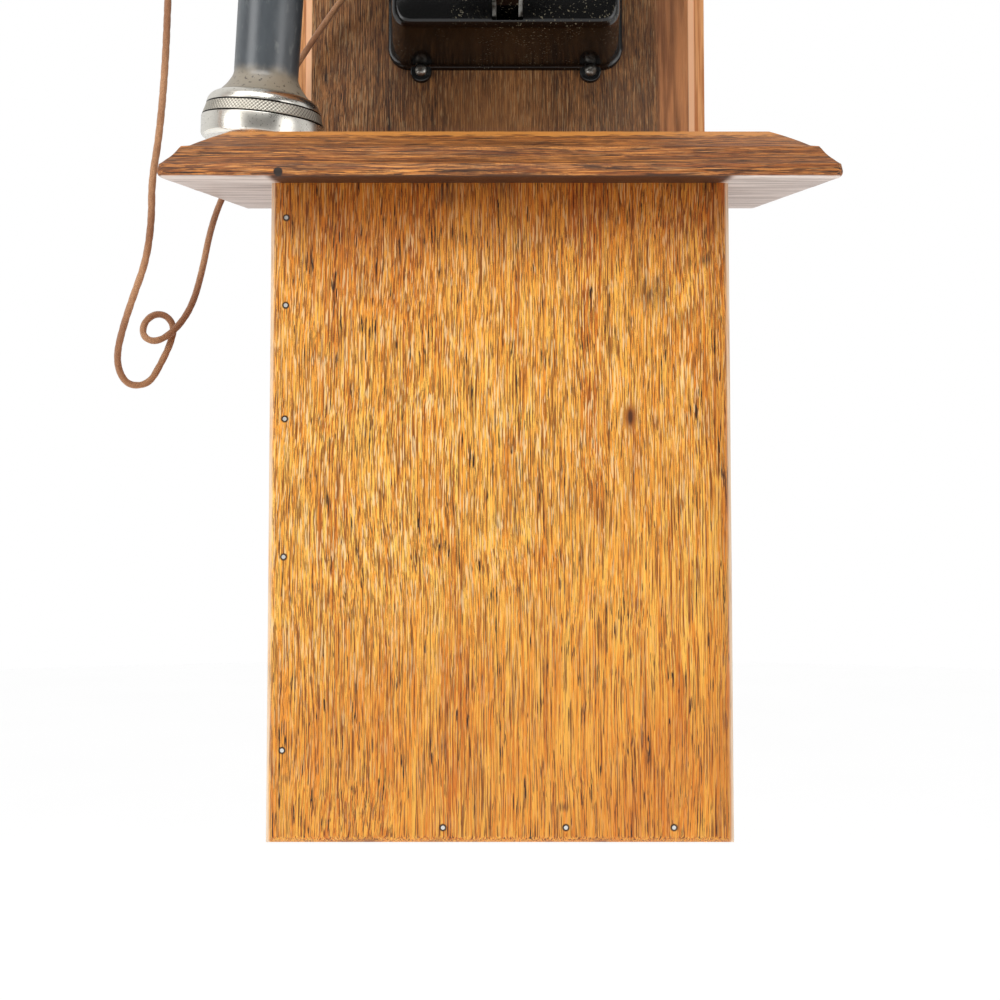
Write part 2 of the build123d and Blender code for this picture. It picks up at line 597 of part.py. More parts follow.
def tail_ball_height():
    """Distance from the cap's lower face to the centre of the tail ball."""
    return BARREL_LENGTH + TAIL_NECK_LENGTH + TAIL_BALL_R - 1


def fork_top():
    """Height of the fork's upper face, just under the ball that it carries."""
    drop = math.sqrt(TAIL_BALL_R ** 2 - FORK_HALF_SLOT ** 2)
    return receiver_point(tail_ball_height()).Z - FLOOR_Z - drop - SEAT


def receiver_cap():
    """Nickel cap: smooth skirt and knurled upper band, hollow over the diaphragm."""
    r, skirt, top = CAP_R, SKIRT_HEIGHT, CAP_HEIGHT
    cap = turned([
        (CAP_HOLE_R, 0),
        (r - 2.8, 0),
        (r - 0.9, 0.8, r - 0.2, 2.8),
        (r, skirt - 0.3),
        (r - 0.5, skirt),
        (r - 0.3, skirt + 0.3),
        (r - KNURL_TAPER, top - 0.3),
        (r - KNURL_TAPER - 0.4, top),
        (r - CAP_WALL, top),
        (r - CAP_WALL, CAP_FACE),
        (CAP_HOLE_R, CAP_FACE),
    ])
    return receiver_place() * cap


def receiver_ring():
    """Nickel shoulder ring between the cap and the shell."""
    r, low = CAP_R - KNURL_TAPER - RUN, CAP_HEIGHT + RUN / 2
    top = low + RING_HEIGHT
    inner = r - RING_WIDE
    ring = turned([(inner, low), (r, low), (r - 1.6, low + 4.2, r - RING_TAPER, top), (inner, top)])
    return receiver_place() * ring


def shell_foot():
    """Distance from the cap's lower face to the shell's foot."""
    return CAP_HEIGHT + RING_HEIGHT + RUN


def receiver_shell():
    """Hard-rubber barrel with its flared foot and domed tail."""
    foot, top, wall = shell_foot(), BARREL_LENGTH, SHELL_WALL
    low_r, high_r, neck = BARREL_FOOT_R, BARREL_TOP_R, TAIL_NECK_R + RUN / 2
    flare_r = CAP_R - KNURL_TAPER - RING_TAPER
    shell = turned([
        (SHELL_FOOT_BORE_R, foot),
        (flare_r, foot),
        (low_r + 3.6, foot + 4.2, low_r + 1.0, foot + 0.8 * FLARE_HEIGHT),
        (low_r + 0.2, foot + FLARE_HEIGHT, low_r, foot + 1.3 * FLARE_HEIGHT),
        (low_r, BARREL_STRAIGHT),
        (high_r, top - BARREL_DOME),
        (high_r - 0.6, top - 1.6, high_r - 5, top),
        (neck, top),
        (neck, top - TAIL_SOCKET),
        (high_r - wall, top - TAIL_SOCKET),
        (low_r - wall, BARREL_STRAIGHT),
        (low_r - wall, foot + 16),
        (SHELL_FOOT_BORE_R, foot + 6),
    ])
    return receiver_place() * shell


def receiver_tail():
    """Nickel neck and ball that hang in the fork."""
    low = BARREL_LENGTH - TAIL_SOCKET
    ball = tail_ball_height()
    tail = Pos(0, 0, (low + ball) / 2) * Cylinder(TAIL_NECK_R, ball - low)
    tail += Pos(0, 0, ball) * Sphere(TAIL_BALL_R)
    tail += Pos(0, 0, BARREL_LENGTH + 0.75) * Cylinder(6.5, 1.5)
    return receiver_place() * tail


def receiver_terminal():
    """Brass post on the left of the tail, where the cord starts."""
    r, end = barrel_radius(TERMINAL_HEIGHT) + RUN, TERMINAL_REACH
    post = turned([(0, r), (TERMINAL_R, r), (TERMINAL_R, r + 2), (2.6, r + 2.6), (2.6, r + end - 2),
                   (3.2, r + end - 1.6), (3.2, r + end), (0, r + end)])
    return receiver_place() * Pos(0, 0, TERMINAL_HEIGHT) * Rot(0, -90, 0) * post


def barrel_radius(along):
    """Outer radius of the barrel's upper, tapering length."""
    share = (along - BARREL_STRAIGHT) / (BARREL_LENGTH - BARREL_DOME - BARREL_STRAIGHT)
    return BARREL_FOOT_R + (BARREL_TOP_R - BARREL_FOOT_R) * share


def receiver_magnet():
    """Bar magnet down the barrel, with the coil and pole at its foot."""
    low, high, coil = CAP_HEIGHT - 2, BARREL_LENGTH - TAIL_SOCKET - SEAT, 22.0
    bar = Pos(0, 0, (low + coil + high) / 2) * Box(14, 5, high - low - coil)
    return receiver_place() * (bar + Pos(0, 0, low + coil / 2) * Cylinder(9, coil))


def receiver_diaphragm():
    """Iron disc that lies on the cap's face."""
    disc = Cylinder(CAP_R - CAP_WALL - 0.2, DIAPHRAGM)
    return receiver_place() * Pos(0, 0, CAP_FACE + RUN + DIAPHRAGM / 2) * disc


def hook_lever():
    """Flat fork, shank and hub of the switch lever."""
    ball = receiver_point(tail_ball_height())
    top = fork_top()
    tip_x, root_x = ball.X - 14.5, ball.X + 13.5
    fork = block(tip_x, root_x, ball.Y - FORK_HALF_WIDTH, ball.Y + FORK_HALF_WIDTH, top - FORK_THICK, top)
    fork -= block(tip_x - 1, ball.X, ball.Y - FORK_HALF_SLOT, ball.Y + FORK_HALF_SLOT, top - 9, top + 1)
    fork -= rod_z(ball.X, ball.Y, top - 9, top + 1, FORK_HALF_SLOT)
    fork = fillet(fork.edges().filter_by(Axis.Z).group_by(Axis.X)[-1], 6)
    shank = block(root_x - 3, HOOK_PIVOT_X + 22, ball.Y - 4, ball.Y + 4, top - 4, top)
    hub = rod_y(HOOK_PIVOT_X, ball.Y - 6, ball.Y + 6, top - 2, HOOK_HUB_R)
    lever = fork + shank + hub
    return lever - rod_y(HOOK_PIVOT_X, ball.Y - 9, ball.Y + 9, top - 2, HOOK_PIN_R + 0.05)


def hook_bracket():
    """Two angle pieces on the box's floor, one each side of the lever, that carry its pin."""
    ball = receiver_point(tail_ball_height())
    low, top, half = RINGER_BOX_LOW + RINGER_BOX_WALL, fork_top() + 4, 8.0
    x0, x1 = HOOK_PIVOT_X - half, HOOK_PIVOT_X + half
    pieces = []
    for side in (-1, 1):
        ear0, ear1 = sorted((ball.Y + side * HOOK_EAR, ball.Y + side * (HOOK_EAR + HOOK_PLATE)))
        foot0, foot1 = sorted((ball.Y + side * HOOK_EAR, ball.Y + side * (HOOK_EAR + 8)))
        piece = block(x0, x1, ear0, ear1, low, top) + block(x0, x1, foot0, foot1, low, low + HOOK_PLATE)
        pieces.append(piece - rod_y(HOOK_PIVOT_X, ball.Y - 9, ball.Y + 9, fork_top() - 2, HOOK_PIN_R))
    return group(*pieces)


def hook_pin():
    ball = receiver_point(tail_ball_height())
    return rod_y(HOOK_PIVOT_X, ball.Y - 9.5, ball.Y + 9.5, fork_top() - 2, HOOK_PIN_R)


def contact_springs():
    """Insulating block with three leaf springs over the lever's tail."""
    ball = receiver_point(tail_ball_height())
    low = RINGER_BOX_LOW + RINGER_BOX_WALL
    top = fork_top()
    stack = block(-12, 4, ball.Y - 7, ball.Y + 7, low, top + 14)
    for level in (1.2, 5.2, 9.2):
        stack += block(HOOK_PIVOT_X + 16 + level, -11, ball.Y - 5, ball.Y + 5, top + level, top + level + 0.8)
    return stack


def line_posts():
    """Three binding posts on the ringer box's top."""
    base = RINGER_BOX_HIGH + TOP_BOARD_THICK
    post = turned([(0, 0), (6, 0), (6, 2), (3, 3), (3, 8), (5.5, 9), (5.5, 14), (4.5, 15), (2, 15),
                   (2, 19), (0, 19)])
    return group(*[Pos(x, -60, up(base)) * post for x in (-30, 0, 30)])


# ---------------------------------------------------------------- transmitter case, arm and transmitter
def rounded_slab(width, low, high, y0, y1, corner):
    """Upright slab with rounded corners, seen from the front."""
    slab = block(CASE_CENTRE_X - width / 2, CASE_CENTRE_X + width / 2, y0, y1, low, high)
    return fillet(slab.edges().filter_by(Axis.Y), corner)


def transmitter_case():
    """Pressed cover: flange with four ears, deep rounded body, slot for the arm."""
    low, high = CASE_LOW, CASE_LOW + CASE_FLANGE_HEIGHT
    body_low, body_high, wall = low + CASE_RIM, high - CASE_RIM, CASE_WALL
    front = FACE_Y - CASE_DEPTH
    flange = rounded_slab(CASE_FLANGE_WIDTH, low, high, FACE_Y - CASE_LIP, FACE_Y, CASE_FLANGE_CORNER)
    for x, height in case_screw_places():
        flange += rod_y(x, FACE_Y - CASE_LIP, FACE_Y, height, CASE_EAR_R)
    body = rounded_slab(CASE_BODY_WIDTH, body_low, body_high, front, FACE_Y, CASE_BODY_CORNER)
    body = fillet(body.faces().sort_by(Axis.Y)[0].edges(), CASE_EDGE_R)
    inner = rounded_slab(CASE_BODY_WIDTH - 2 * wall, body_low + wall, body_high - wall,
                         front + wall, FACE_Y + 1,
                         CASE_BODY_CORNER - wall)
    inner = fillet(inner.faces().sort_by(Axis.Y)[0].edges(), CASE_EDGE_R / 2)
    case = flange + body - inner
    for x, height in case_screw_places():
        case -= rod_y(x, FACE_Y - CASE_LIP - 1, FACE_Y + 1, height, CASE_SCREW_R)
    half, side = SLOT_WIDTH / 2, CASE_CENTRE_X - CASE_BODY_WIDTH / 2
    case -= block(SLOT_CENTRE_X - half, SLOT_CENTRE_X + half, front - 1, front + SLOT_DEEP,
                  SLOT_LOW, SLOT_HIGH)
    return case - rod_x(side - 1, side + wall + 1, GROMMET_Y, GROMMET_HEIGHT, GROMMET_R + RUN)


def case_screw_places():
    heights = (CASE_LOW - CASE_EAR_DROP, CASE_LOW + CASE_FLANGE_HEIGHT + CASE_EAR_DROP)
    return [(x, height) for x in CASE_EAR_X for height in heights]


def case_screws():
    """Slotted round-head screws through the ears."""
    screws = []
    for x, height in case_screw_places():
        head_y = FACE_Y - CASE_LIP
        driver_slot = Pos(0, 0, 2.3) * Rot(0, 0, 25) * Box(8, 0.9, 2)
        head = turned([(0, 0), (3.6, 0), (3.2, 1.5, 0, 2.2)]) - driver_slot
        shank = rod_y(x, head_y - 0.1, FACE_Y, height, CASE_SCREW_R - RUN / 2)
        screws.append(facing_front(x, head_y, height) * head + shank)
    return group(*screws)


def case_grommet():
    """Flanged bushing where the cord enters the case."""
    side = CASE_CENTRE_X - CASE_BODY_WIDTH / 2
    ring = rod_x(side - 4.5, side, GROMMET_Y, GROMMET_HEIGHT, 5.0)
    ring += rod_x(side, side + 5, GROMMET_Y, GROMMET_HEIGHT, GROMMET_R)
    return ring - rod_x(side - 6, side + 6, GROMMET_Y, GROMMET_HEIGHT, CORD_DIAMETER / 2 + 0.02)


COIL_HEIGHT, INDUCTION_Y = 505.0, -44.0


def induction_coil():
    """Wound bobbin with square cheeks, and its iron core."""
    bobbin = rod_x(-41, 49, INDUCTION_Y, COIL_HEIGHT, 11)
    for x in (-44, 49):
        bobbin += block(x, x + 3, INDUCTION_Y - 12, FACE_Y, COIL_HEIGHT - 12, COIL_HEIGHT + 12)
    core = rod_x(-50, 58, INDUCTION_Y, COIL_HEIGHT, 4)
    return bobbin - core, core


def arm_bracket():
    """Clevis on the backboard that carries the arm's pin."""
    half = ARM_WIDTH / 2 + 0.2
    low, high = 445.0, 470.0
    bracket = block(SLOT_CENTRE_X - 16, SLOT_CENTRE_X + 16, FACE_Y - 3, FACE_Y, low - 4, high + 12)
    for side in (-1, 1):
        x0, x1 = sorted((SLOT_CENTRE_X + side * half, SLOT_CENTRE_X + side * (half + 2.2)))
        bracket += block(x0, x1, ARM_PIVOT_Y - 6, FACE_Y, low, high)
    return bracket - rod_x(-30, 40, ARM_PIVOT_Y, ARM_PIVOT_HEIGHT, ARM_PIN_R)


def arm_pin():
    reach = ARM_WIDTH / 2 + 4.5
    return rod_x(SLOT_CENTRE_X - reach, SLOT_CENTRE_X + reach, ARM_PIVOT_Y, ARM_PIVOT_HEIGHT, ARM_PIN_R)


def transmitter_arm():
    """Cast arm: lug in the slot, slim neck, and the plate behind the cup."""
    y, h = ARM_PIVOT_Y, ARM_PIVOT_HEIGHT
    end_y, end_h = TRANSMITTER_Y, TRANSMITTER_HEIGHT
    outline = [(y + 9, h - 5), (y + 2, h - 12), (y - 19, h - 12), (y - 30, h - 5),
               (end_y + 24, end_h - 7), (end_y + 5, end_h - 9), (end_y + 5, end_h + 9),
               (end_y + 24, end_h + 8), (y - 24, h + 11), (y + 4, h + 10)]
    bar = prism_x(outline, SLOT_CENTRE_X - ARM_WIDTH / 2, SLOT_CENTRE_X + ARM_WIDTH / 2)
    bar = fillet(bar.edges().filter_by(Axis.X), 2.5)
    plate = rod_y(SLOT_CENTRE_X, end_y, end_y + 5.5, end_h, 16)
    return bar + plate - rod_x(-30, 40, y, h, ARM_PIN_R + 0.05)


def transmitter_cup():
    """Back shell of the transmitter, screwed to the arm's plate."""
    w = CUP_WALL
    cup = turned([(0, 0), (CUP_R - 6, 0), (CUP_R - 1.4, 1.5, CUP_R, 7), (CUP_R, CUP_DEPTH),
                  (CUP_R - w, CUP_DEPTH),
                  (CUP_R - w, 7), (CUP_R - 3.2, 3, CUP_R - 6.5, w), (0, w)])
    return facing_front(SLOT_CENTRE_X, TRANSMITTER_Y, TRANSMITTER_HEIGHT) * cup


def transmitter_face():
    """Nickel face ring, its rim turned back over the cup's edge."""
    z0, z1 = CUP_DEPTH, CUP_DEPTH + FACE_THICK
    bore, step_r = HORN_NECK_R + RUN / 2, CUP_R - CUP_WALL - 2
    face = turned([(bore, z0 + 1.4), (step_r, z0 + 1.4), (step_r, z0), (FACE_R, z0), (FACE_R, z1 - 2),
                   (FACE_R - 0.7, z1 - 0.6, FACE_R - 2.5, z1), (HORN_NECK_R + 5, z1 - 0.6), (bore, z1 - 0.6)])
    return facing_front(SLOT_CENTRE_X, TRANSMITTER_Y, TRANSMITTER_HEIGHT) * face


def mouthpiece():
    """Hard-rubber horn, screwed into the face ring."""
    z0 = CUP_DEPTH + 1.6
    z1 = CUP_DEPTH + FACE_THICK + HORN_LENGTH
    neck, mouth, wall = HORN_NECK_R, HORN_MOUTH_R, HORN_WALL
    horn = turned([
        (neck - wall, z0),
        (neck, z0),
        (neck, z0 + 5),
        (neck + 1.2, z0 + 18, mouth - 4, z1 - 6),
        (mouth - 1.2, z1 - 2.6, mouth, z1 - 1),
        (mouth - 1.0, z1),
        (mouth - wall, z1),
        (mouth - 3.2, z1 - 2.4, mouth - 6.4, z1 - 6.4),
        (neck - wall + 1.4, z0 + 18, neck - wall, z0 + 5),
    ])
    return facing_front(SLOT_CENTRE_X, TRANSMITTER_Y, TRANSMITTER_HEIGHT) * horn


def transmitter_works():
    """Thin diaphragm behind the face, and the carbon button seated on the cup's back."""
    place = facing_front(SLOT_CENTRE_X, TRANSMITTER_Y, TRANSMITTER_HEIGHT)
    disc_low = CUP_DEPTH - DIAPHRAGM - 0.5
    disc = place * Pos(0, 0, disc_low + DIAPHRAGM / 2) * Cylinder(CUP_R - CUP_WALL - RUN, DIAPHRAGM)
    button = place * Pos(0, 0, (CUP_WALL + disc_low) / 2) * Cylinder(10, disc_low - CUP_WALL)
    return disc, button


# ---------------------------------------------------------------- cord
def cord_tube(name, points):
    """Tube on straight runs joined by arcs as large as the runs allow."""
    route = [Vector(x, y, up(height)) for x, y, height in points]
    radii = []
    for before, corner, after in zip(route, route[1:], route[2:]):
        turn = math.radians((corner - before).get_angle(after - corner))
        shorter = min((corner - before).length, (after - corner).length)
        radii.append(0.45 * shorter / math.tan(turn / 2))
    path = FilletPolyline(*route, radius=radii)
    start = Plane(origin=path @ 0, z_dir=path % 0)
    tube = sweep(start * Circle(CORD_DIAMETER / 2), path=path)
    section = math.pi * CORD_DIAMETER ** 2 / 4
    print(name, "radii", [round(r, 1) for r in radii])
    share = tube.volume / (section * path.length)
    print(name, "length", round(path.length, 1), "volume share", round(share, 4))
    return tube


# ---------------------------------------------------------------- write every node
def main():
    left_side, right_side = ringer_box_sides()
    fixed_leaves, door_leaves = hinge_leaves()
    winding, core = induction_coil()
    diaphragm, button = transmitter_works()
    nodes = {
        "backboard": backboard(),
        "battery_sides": group(battery_side(-BOX_HALF, -BOX_HALF + BOX_WALL),
                               battery_side(BOX_HALF - BOX_WALL, BOX_HALF)),
        "battery_bottom": battery_bottom(),
        "battery_front": battery_front(),
        "front_brads": front_brads(),
        "writing_shelf": writing_shelf(),
        "dry_cells": group(dry_cell(-1), dry_cell(1)),
        "cell_terminals": cell_terminals(),
        "ringer_box_left_side": left_side,
        "ringer_box_right_side": right_side,
        "ringer_box_floor": ringer_box_floor(),
        "ringer_box_top": ringer_box_top(),
        "ringer_box_door": ringer_box_door(),
        "hinge_fixed_leaves": fixed_leaves,
        "hinge_door_leaves": door_leaves,
        "door_knob": door_knob(),
        "gong_left": gong(-1),
        "gong_right": gong(1),
        "gong_posts": gong_posts(),
        "ringer_frame": ringer_frame(),
        "ringer_coils": ringer_coils(),
        "clapper": clapper(),
        "generator_shelf": generator_shelf(),
        "generator_frame": group(generator_bed(), generator_end(GEN_LEFT, GEN_LEFT + 4),
                                 generator_end(GEN_RIGHT - 4, GEN_RIGHT)),
        "magnets": magnets(),
        "pole_pieces": pole_pieces(),
        "armature": armature(),
        "armature_winding": armature_winding(),
        "pinion": pinion(),
        "drive_gear": drive_gear(),
        "crank_shaft": crank_shaft(),
        "crank_bushing": crank_bushing(),
        "crank_arm": crank_arm(),
        "crank_handle": crank_handle(),
        "receiver_cap": receiver_cap(),
        "receiver_ring": receiver_ring(),
        "receiver_shell": receiver_shell(),
        "receiver_tail": receiver_tail(),
        "receiver_terminal": receiver_terminal(),
        "receiver_magnet": receiver_magnet(),
        "receiver_diaphragm": receiver_diaphragm(),
        "hook_lever": hook_lever(),
        "hook_bracket": hook_bracket(),
        "pivot_pins": group(hook_pin(), arm_pin()),
        "contact_springs": contact_springs(),
        "line_posts": line_posts(),
        "transmitter_case": transmitter_case(),
        "case_screws": case_screws(),
        "case_grommet": case_grommet(),
        "induction_winding": winding,
        "induction_core": core,
        "arm_bracket": arm_bracket(),
        "transmitter_arm": transmitter_arm(),
        "transmitter_cup": transmitter_cup(),
        "transmitter_face": transmitter_face(),
        "mouthpiece": mouthpiece(),
        "transmitter_diaphragm": diaphragm,
        "carbon_button": button,
        "cord_receiver_strand": cord_tube("cord_receiver_strand", CORD_RECEIVER_POINTS),
        "cord_case_strand": cord_tube("cord_case_strand", CORD_CASE_POINTS),
    }
    os.makedirs("parts", exist_ok=True)
    for name, shape in nodes.items():
        export_step(shape, "parts/" + name + ".step")
    ball = receiver_point(tail_ball_height())
    end = receiver_place() * Pos(-barrel_radius(TERMINAL_HEIGHT) - TERMINAL_REACH, 0, TERMINAL_HEIGHT)
    print("nodes", len(nodes), "tail ball", ball, "fork top", up(fork_top()))
    print("gear axis", up(gear_height()), "hinge axis", hinge_axis(), "terminal end", end.position)


main()
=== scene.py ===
# %% [markdown]
# # A magneto wall telephone in oak
# The telephone has three parts on one backboard: a ringer box at the top, a transmitter on an arm in
# the middle, and a battery box under a sloping writing shelf. The works are already modelled as a
# fixed frame, with every moving piece on its own body. This script adds what the eye reads: oak,
# nickel, black japan, hard rubber, and the braided cord. Loading the frame comes first, because
# every later piece takes its place from it.

# %% Load the frame
import math

import bmesh
import bpy
import numpy as np
from mathutils import Matrix, Vector, noise


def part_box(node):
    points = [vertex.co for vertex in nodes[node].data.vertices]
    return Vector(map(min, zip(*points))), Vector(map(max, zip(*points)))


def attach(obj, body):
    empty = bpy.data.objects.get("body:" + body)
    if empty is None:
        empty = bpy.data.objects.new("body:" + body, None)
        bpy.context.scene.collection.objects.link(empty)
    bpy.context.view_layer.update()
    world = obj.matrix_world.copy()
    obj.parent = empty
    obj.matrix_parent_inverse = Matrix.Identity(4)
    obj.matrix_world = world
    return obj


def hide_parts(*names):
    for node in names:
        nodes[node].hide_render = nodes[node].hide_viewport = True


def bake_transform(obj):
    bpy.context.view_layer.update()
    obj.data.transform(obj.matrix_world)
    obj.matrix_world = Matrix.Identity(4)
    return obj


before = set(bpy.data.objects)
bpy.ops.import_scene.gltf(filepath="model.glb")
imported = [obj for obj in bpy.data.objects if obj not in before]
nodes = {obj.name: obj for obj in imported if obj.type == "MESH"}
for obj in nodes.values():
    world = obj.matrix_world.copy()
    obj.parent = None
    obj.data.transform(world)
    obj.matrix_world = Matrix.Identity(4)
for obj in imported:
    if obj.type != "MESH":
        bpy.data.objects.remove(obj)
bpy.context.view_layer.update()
MM = 0.001
FLOOR_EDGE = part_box("battery_front")[0].z      # lower edge of the battery box


def up(height):
    """Row Z, in metres, of a height in millimetres above the battery box's lower edge."""
    return FLOOR_EDGE + height * MM


# %% [markdown]
# # The camera
# It stands a little below the middle of the battery box and looks slightly up, so the underside of
# the shelf shows at both ends and the lower half of the telephone fills the frame. A longer lens
# further away would flatten the shelf; a wider one would make its nose look too deep.

# %% Camera
CAMERA_DISTANCE = 0.7444
CAMERA_HEIGHT = 133.8
CAMERA_PITCH = math.radians(2.634)
SENSOR_WIDTH, LENS = 36.0, 43.2

camera_data = bpy.data.cameras.new("camera")
camera_data.sensor_width = SENSOR_WIDTH
camera_data.lens = LENS
camera_data.clip_start = 0.01
camera = bpy.data.objects.new("camera", camera_data)
camera.location = (0.0, -CAMERA_DISTANCE, up(CAMERA_HEIGHT))
camera.rotation_euler = (math.pi / 2 + CAMERA_PITCH, 0.0, 0.0)
bpy.context.scene.collection.objects.link(camera)
bpy.context.scene.camera = camera
print("camera", CAMERA_DISTANCE, "m in front of the wall, lens", LENS, "mm")

# %% [markdown]
# # Small helpers for node graphs
# Every finish below is a graph of noise and ramps. Written out in full, each would take a page, so a
# tiny class places a node, fills its inputs from numbers or from other nodes, and hands back the
# socket that matters. Keeping it this thin means that the graph stays the ordinary Blender one.

# %% Node helper
GRAIN_UP, GRAIN_ACROSS = "up", "across"


class Graph:
    """Builds one material's node tree; values may be numbers, tuples or sockets."""

    def __init__(self, name):
        self.material = bpy.data.materials.new(name)
        self.material.use_nodes = True
        self.tree = self.material.node_tree
        self.tree.nodes.clear()
        self.shader = self.tree.nodes.new("ShaderNodeBsdfPrincipled")
        output = self.tree.nodes.new("ShaderNodeOutputMaterial")
        self.tree.links.new(self.shader.outputs[0], output.inputs[0])
        self.place = self.tree.nodes.new("ShaderNodeTexCoord").outputs["Object"]

    def plug(self, socket, value):
        """Links a socket, or sets its value."""
        if isinstance(value, bpy.types.NodeSocket):
            self.tree.links.new(value, socket)
        else:
            socket.default_value = value

    def stretched(self, scale, offset=(0.0, 0.0, 0.0), place=None):
        """Object position times a scale for each axis."""
        node = self.tree.nodes.new("ShaderNodeMapping")
        self.plug(node.inputs["Vector"], self.place if place is None else place)
        node.inputs["Scale"].default_value = scale
        node.inputs["Location"].default_value = offset
        return node.outputs[0]

    def noise(self, place, scale=1.0, detail=2.0, roughness=0.5):
        """Noise from 0 to 1; detail adds finer layers, roughness makes them stronger."""
        node = self.tree.nodes.new("ShaderNodeTexNoise")
        self.plug(node.inputs["Vector"], place)
        node.inputs["Scale"].default_value = scale
        node.inputs["Detail"].default_value = detail
        node.inputs["Roughness"].default_value = roughness
        return node.outputs[0]

    def maths(self, operation, a, b=0.0):
        """One step of arithmetic on numbers or sockets."""
        node = self.tree.nodes.new("ShaderNodeMath")
        node.operation = operation
        self.plug(node.inputs[0], a)
        self.plug(node.inputs[1], b)
        return node.outputs[0]

    def between(self, value, low, high, out_low=0.0, out_high=1.0):
        """Smoothly remaps a value from low..high, clamped."""
        node = self.tree.nodes.new("ShaderNodeMapRange")
        node.interpolation_type = "SMOOTHSTEP"
        self.plug(node.inputs["Value"], value)
        for name, number in (("From Min", low), ("From Max", high),
                             ("To Min", out_low), ("To Max", out_high)):
            self.plug(node.inputs[name], number)
        return node.outputs[0]

    def mix(self, factor, a, b, blend="MIX"):
        """Blends colour b over colour a by a factor."""
        node = self.tree.nodes.new("ShaderNodeMix")
        node.data_type = "RGBA"
        node.blend_type = blend
        self.plug(node.inputs[0], factor)
        self.plug(node.inputs[6], a)
        self.plug(node.inputs[7], b)
        return node.outputs[2]

    def axis(self, name):
        """X, Y or Z of the place on the object, in metres."""
        node = self.tree.nodes.new("ShaderNodeSeparateXYZ")
        self.tree.links.new(self.place, node.inputs[0])
        return node.outputs[name]

    def product(self, *values):
        """Several masks or numbers multiplied together."""
        result = values[0]
        for value in values[1:]:
            result = self.maths("MULTIPLY", result, value)
        return result

    def distance(self, point, height_share=1.0):
        """Distance from a point in metres; a share under 1 draws the shape out along the height."""
        node = self.tree.nodes.new("ShaderNodeVectorMath")
        node.operation = "DISTANCE"
        self.tree.links.new(self.stretched((1.0, 1.0, height_share)), node.inputs[0])
        node.inputs[1].default_value = (point[0], point[1], point[2] * height_share)
        return node.outputs["Value"]

    def along(self, origin, direction):
        """Distance in metres from a point, measured along a direction."""
        node = self.tree.nodes.new("ShaderNodeVectorMath")
        node.operation = "SUBTRACT"
        self.tree.links.new(self.place, node.inputs[0])
        node.inputs[1].default_value = origin
        dot = self.tree.nodes.new("ShaderNodeVectorMath")
        dot.operation = "DOT_PRODUCT"
        self.tree.links.new(node.outputs[0], dot.inputs[0])
        dot.inputs[1].default_value = direction
        return dot.outputs["Value"]

    def bump(self, height, strength, distance):
        """Normal tilted by a height from 0 to 1; the distance is in metres."""
        node = self.tree.nodes.new("ShaderNodeBump")
        node.inputs["Strength"].default_value = strength
        node.inputs["Distance"].default_value = distance
        self.plug(node.inputs["Height"], height)
        return node.outputs[0]

    def set(self, **values):
        """Sets shader inputs by name, with underscores for spaces."""
        for name, value in values.items():
            self.plug(self.shader.inputs[name.replace("_", " ")], value)
        return self.material


def rgb(red, green, blue):
    """Linear colour from the 0..255 values that a paint chart gives."""
    def linear(v):
        v = v / 255
        return v / 12.92 if v <= 0.04045 else ((v + 0.055) / 1.055) ** 2.4
    return (linear(red), linear(green), linear(blue), 1.0)


def dress(material, *names):
    """Gives CAD nodes a finish through their own material slots."""
    for name in names:
        piece = nodes[name]
        if not piece.data.materials:
            piece.data.materials.append(material)
        for index in range(len(piece.data.materials)):
            piece.data.materials[index] = material


def bridge(bm, lower, upper, closed=True):
    """Quads between two rings, or two open rows, of equal count."""
    count = len(lower)
    for index in range(count if closed else count - 1):
        following = (index + 1) % count
        bm.faces.new((lower[index], lower[following], upper[following], upper[index]))


def add_mesh(name, bm, material):
    """Turns a bmesh into a smooth-shaded object in the scene."""
    mesh = bpy.data.meshes.new(name)
    bm.to_mesh(mesh)
    bm.free()
    mesh.materials.append(material)
    mesh.shade_smooth()
    piece = bpy.data.objects.new(name, mesh)
    bpy.context.scene.collection.objects.link(piece)
    return piece


print("helpers ready: a node graph, a paint chart colour, a finish for frame nodes and a mesh maker")

# %% [markdown]
# # Braided cord
# The receiver's cord is two stranded conductors in one brown cotton braid, limp and springy at once,
# so it keeps odd kinks and a small curl near its lowest point. A simulated cord would hang in one
# plain loop and lose them, so the route is a list of points given one by one. They pull a smooth curve
# that touches the middle of each leg, as a limp cord cuts its corners.

# %% Cord route
CORD_DIAMETER = 3.7 * MM
CORD_ROUTE = (
    (-130.2, -130.8, 532.5), (-142.0, -131.1, 533.4), (-154.0, -131.6, 530.6), (-163.5, -132.8, 521.0),
    (-168.2, -135.0, 501.5), (-169.8, -137.6, 470.0), (-170.8, -139.2, 425.0), (-171.6, -139.8, 385.2),
    (-174.2, -140.0, 348.0), (-178.2, -138.8, 325.0), (-178.4, -137.0, 305.0), (-182.0, -133.5, 285.0),
    (-190.4, -127.0, 268.0), (-198.0, -119.0, 253.5), (-203.6, -111.4, 240.4), (-203.6, -106.4, 231.0),
    (-199.2, -102.8, 224.6), (-190.0, -98.0, 226.4), (-184.9, -94.3, 238.0), (-181.0, -90.4, 249.4),
    (-179.4, -88.0, 259.2), (-183.2, -89.2, 265.6), (-189.6, -91.6, 266.2), (-194.6, -94.4, 260.4),
    (-194.4, -96.4, 252.4), (-187.0, -96.8, 249.2), (-177.8, -93.2, 256.2), (-170.6, -85.0, 271.4),
    (-167.8, -74.6, 294.0), (-166.6, -62.0, 321.0), (-163.2, -47.8, 345.0), (-151.0, -37.2, 376.0),
    (-134.6, -31.4, 410.4), (-117.4, -29.0, 440.6), (-99.6, -29.6, 466.6), (-83.6, -35.4, 484.6),
    (-72.0, -43.4, 494.4), (-62.6, -46.0, 495.8),
)
cord_points = [Vector((x * MM, y * MM, up(height))) for x, y, height in CORD_ROUTE]


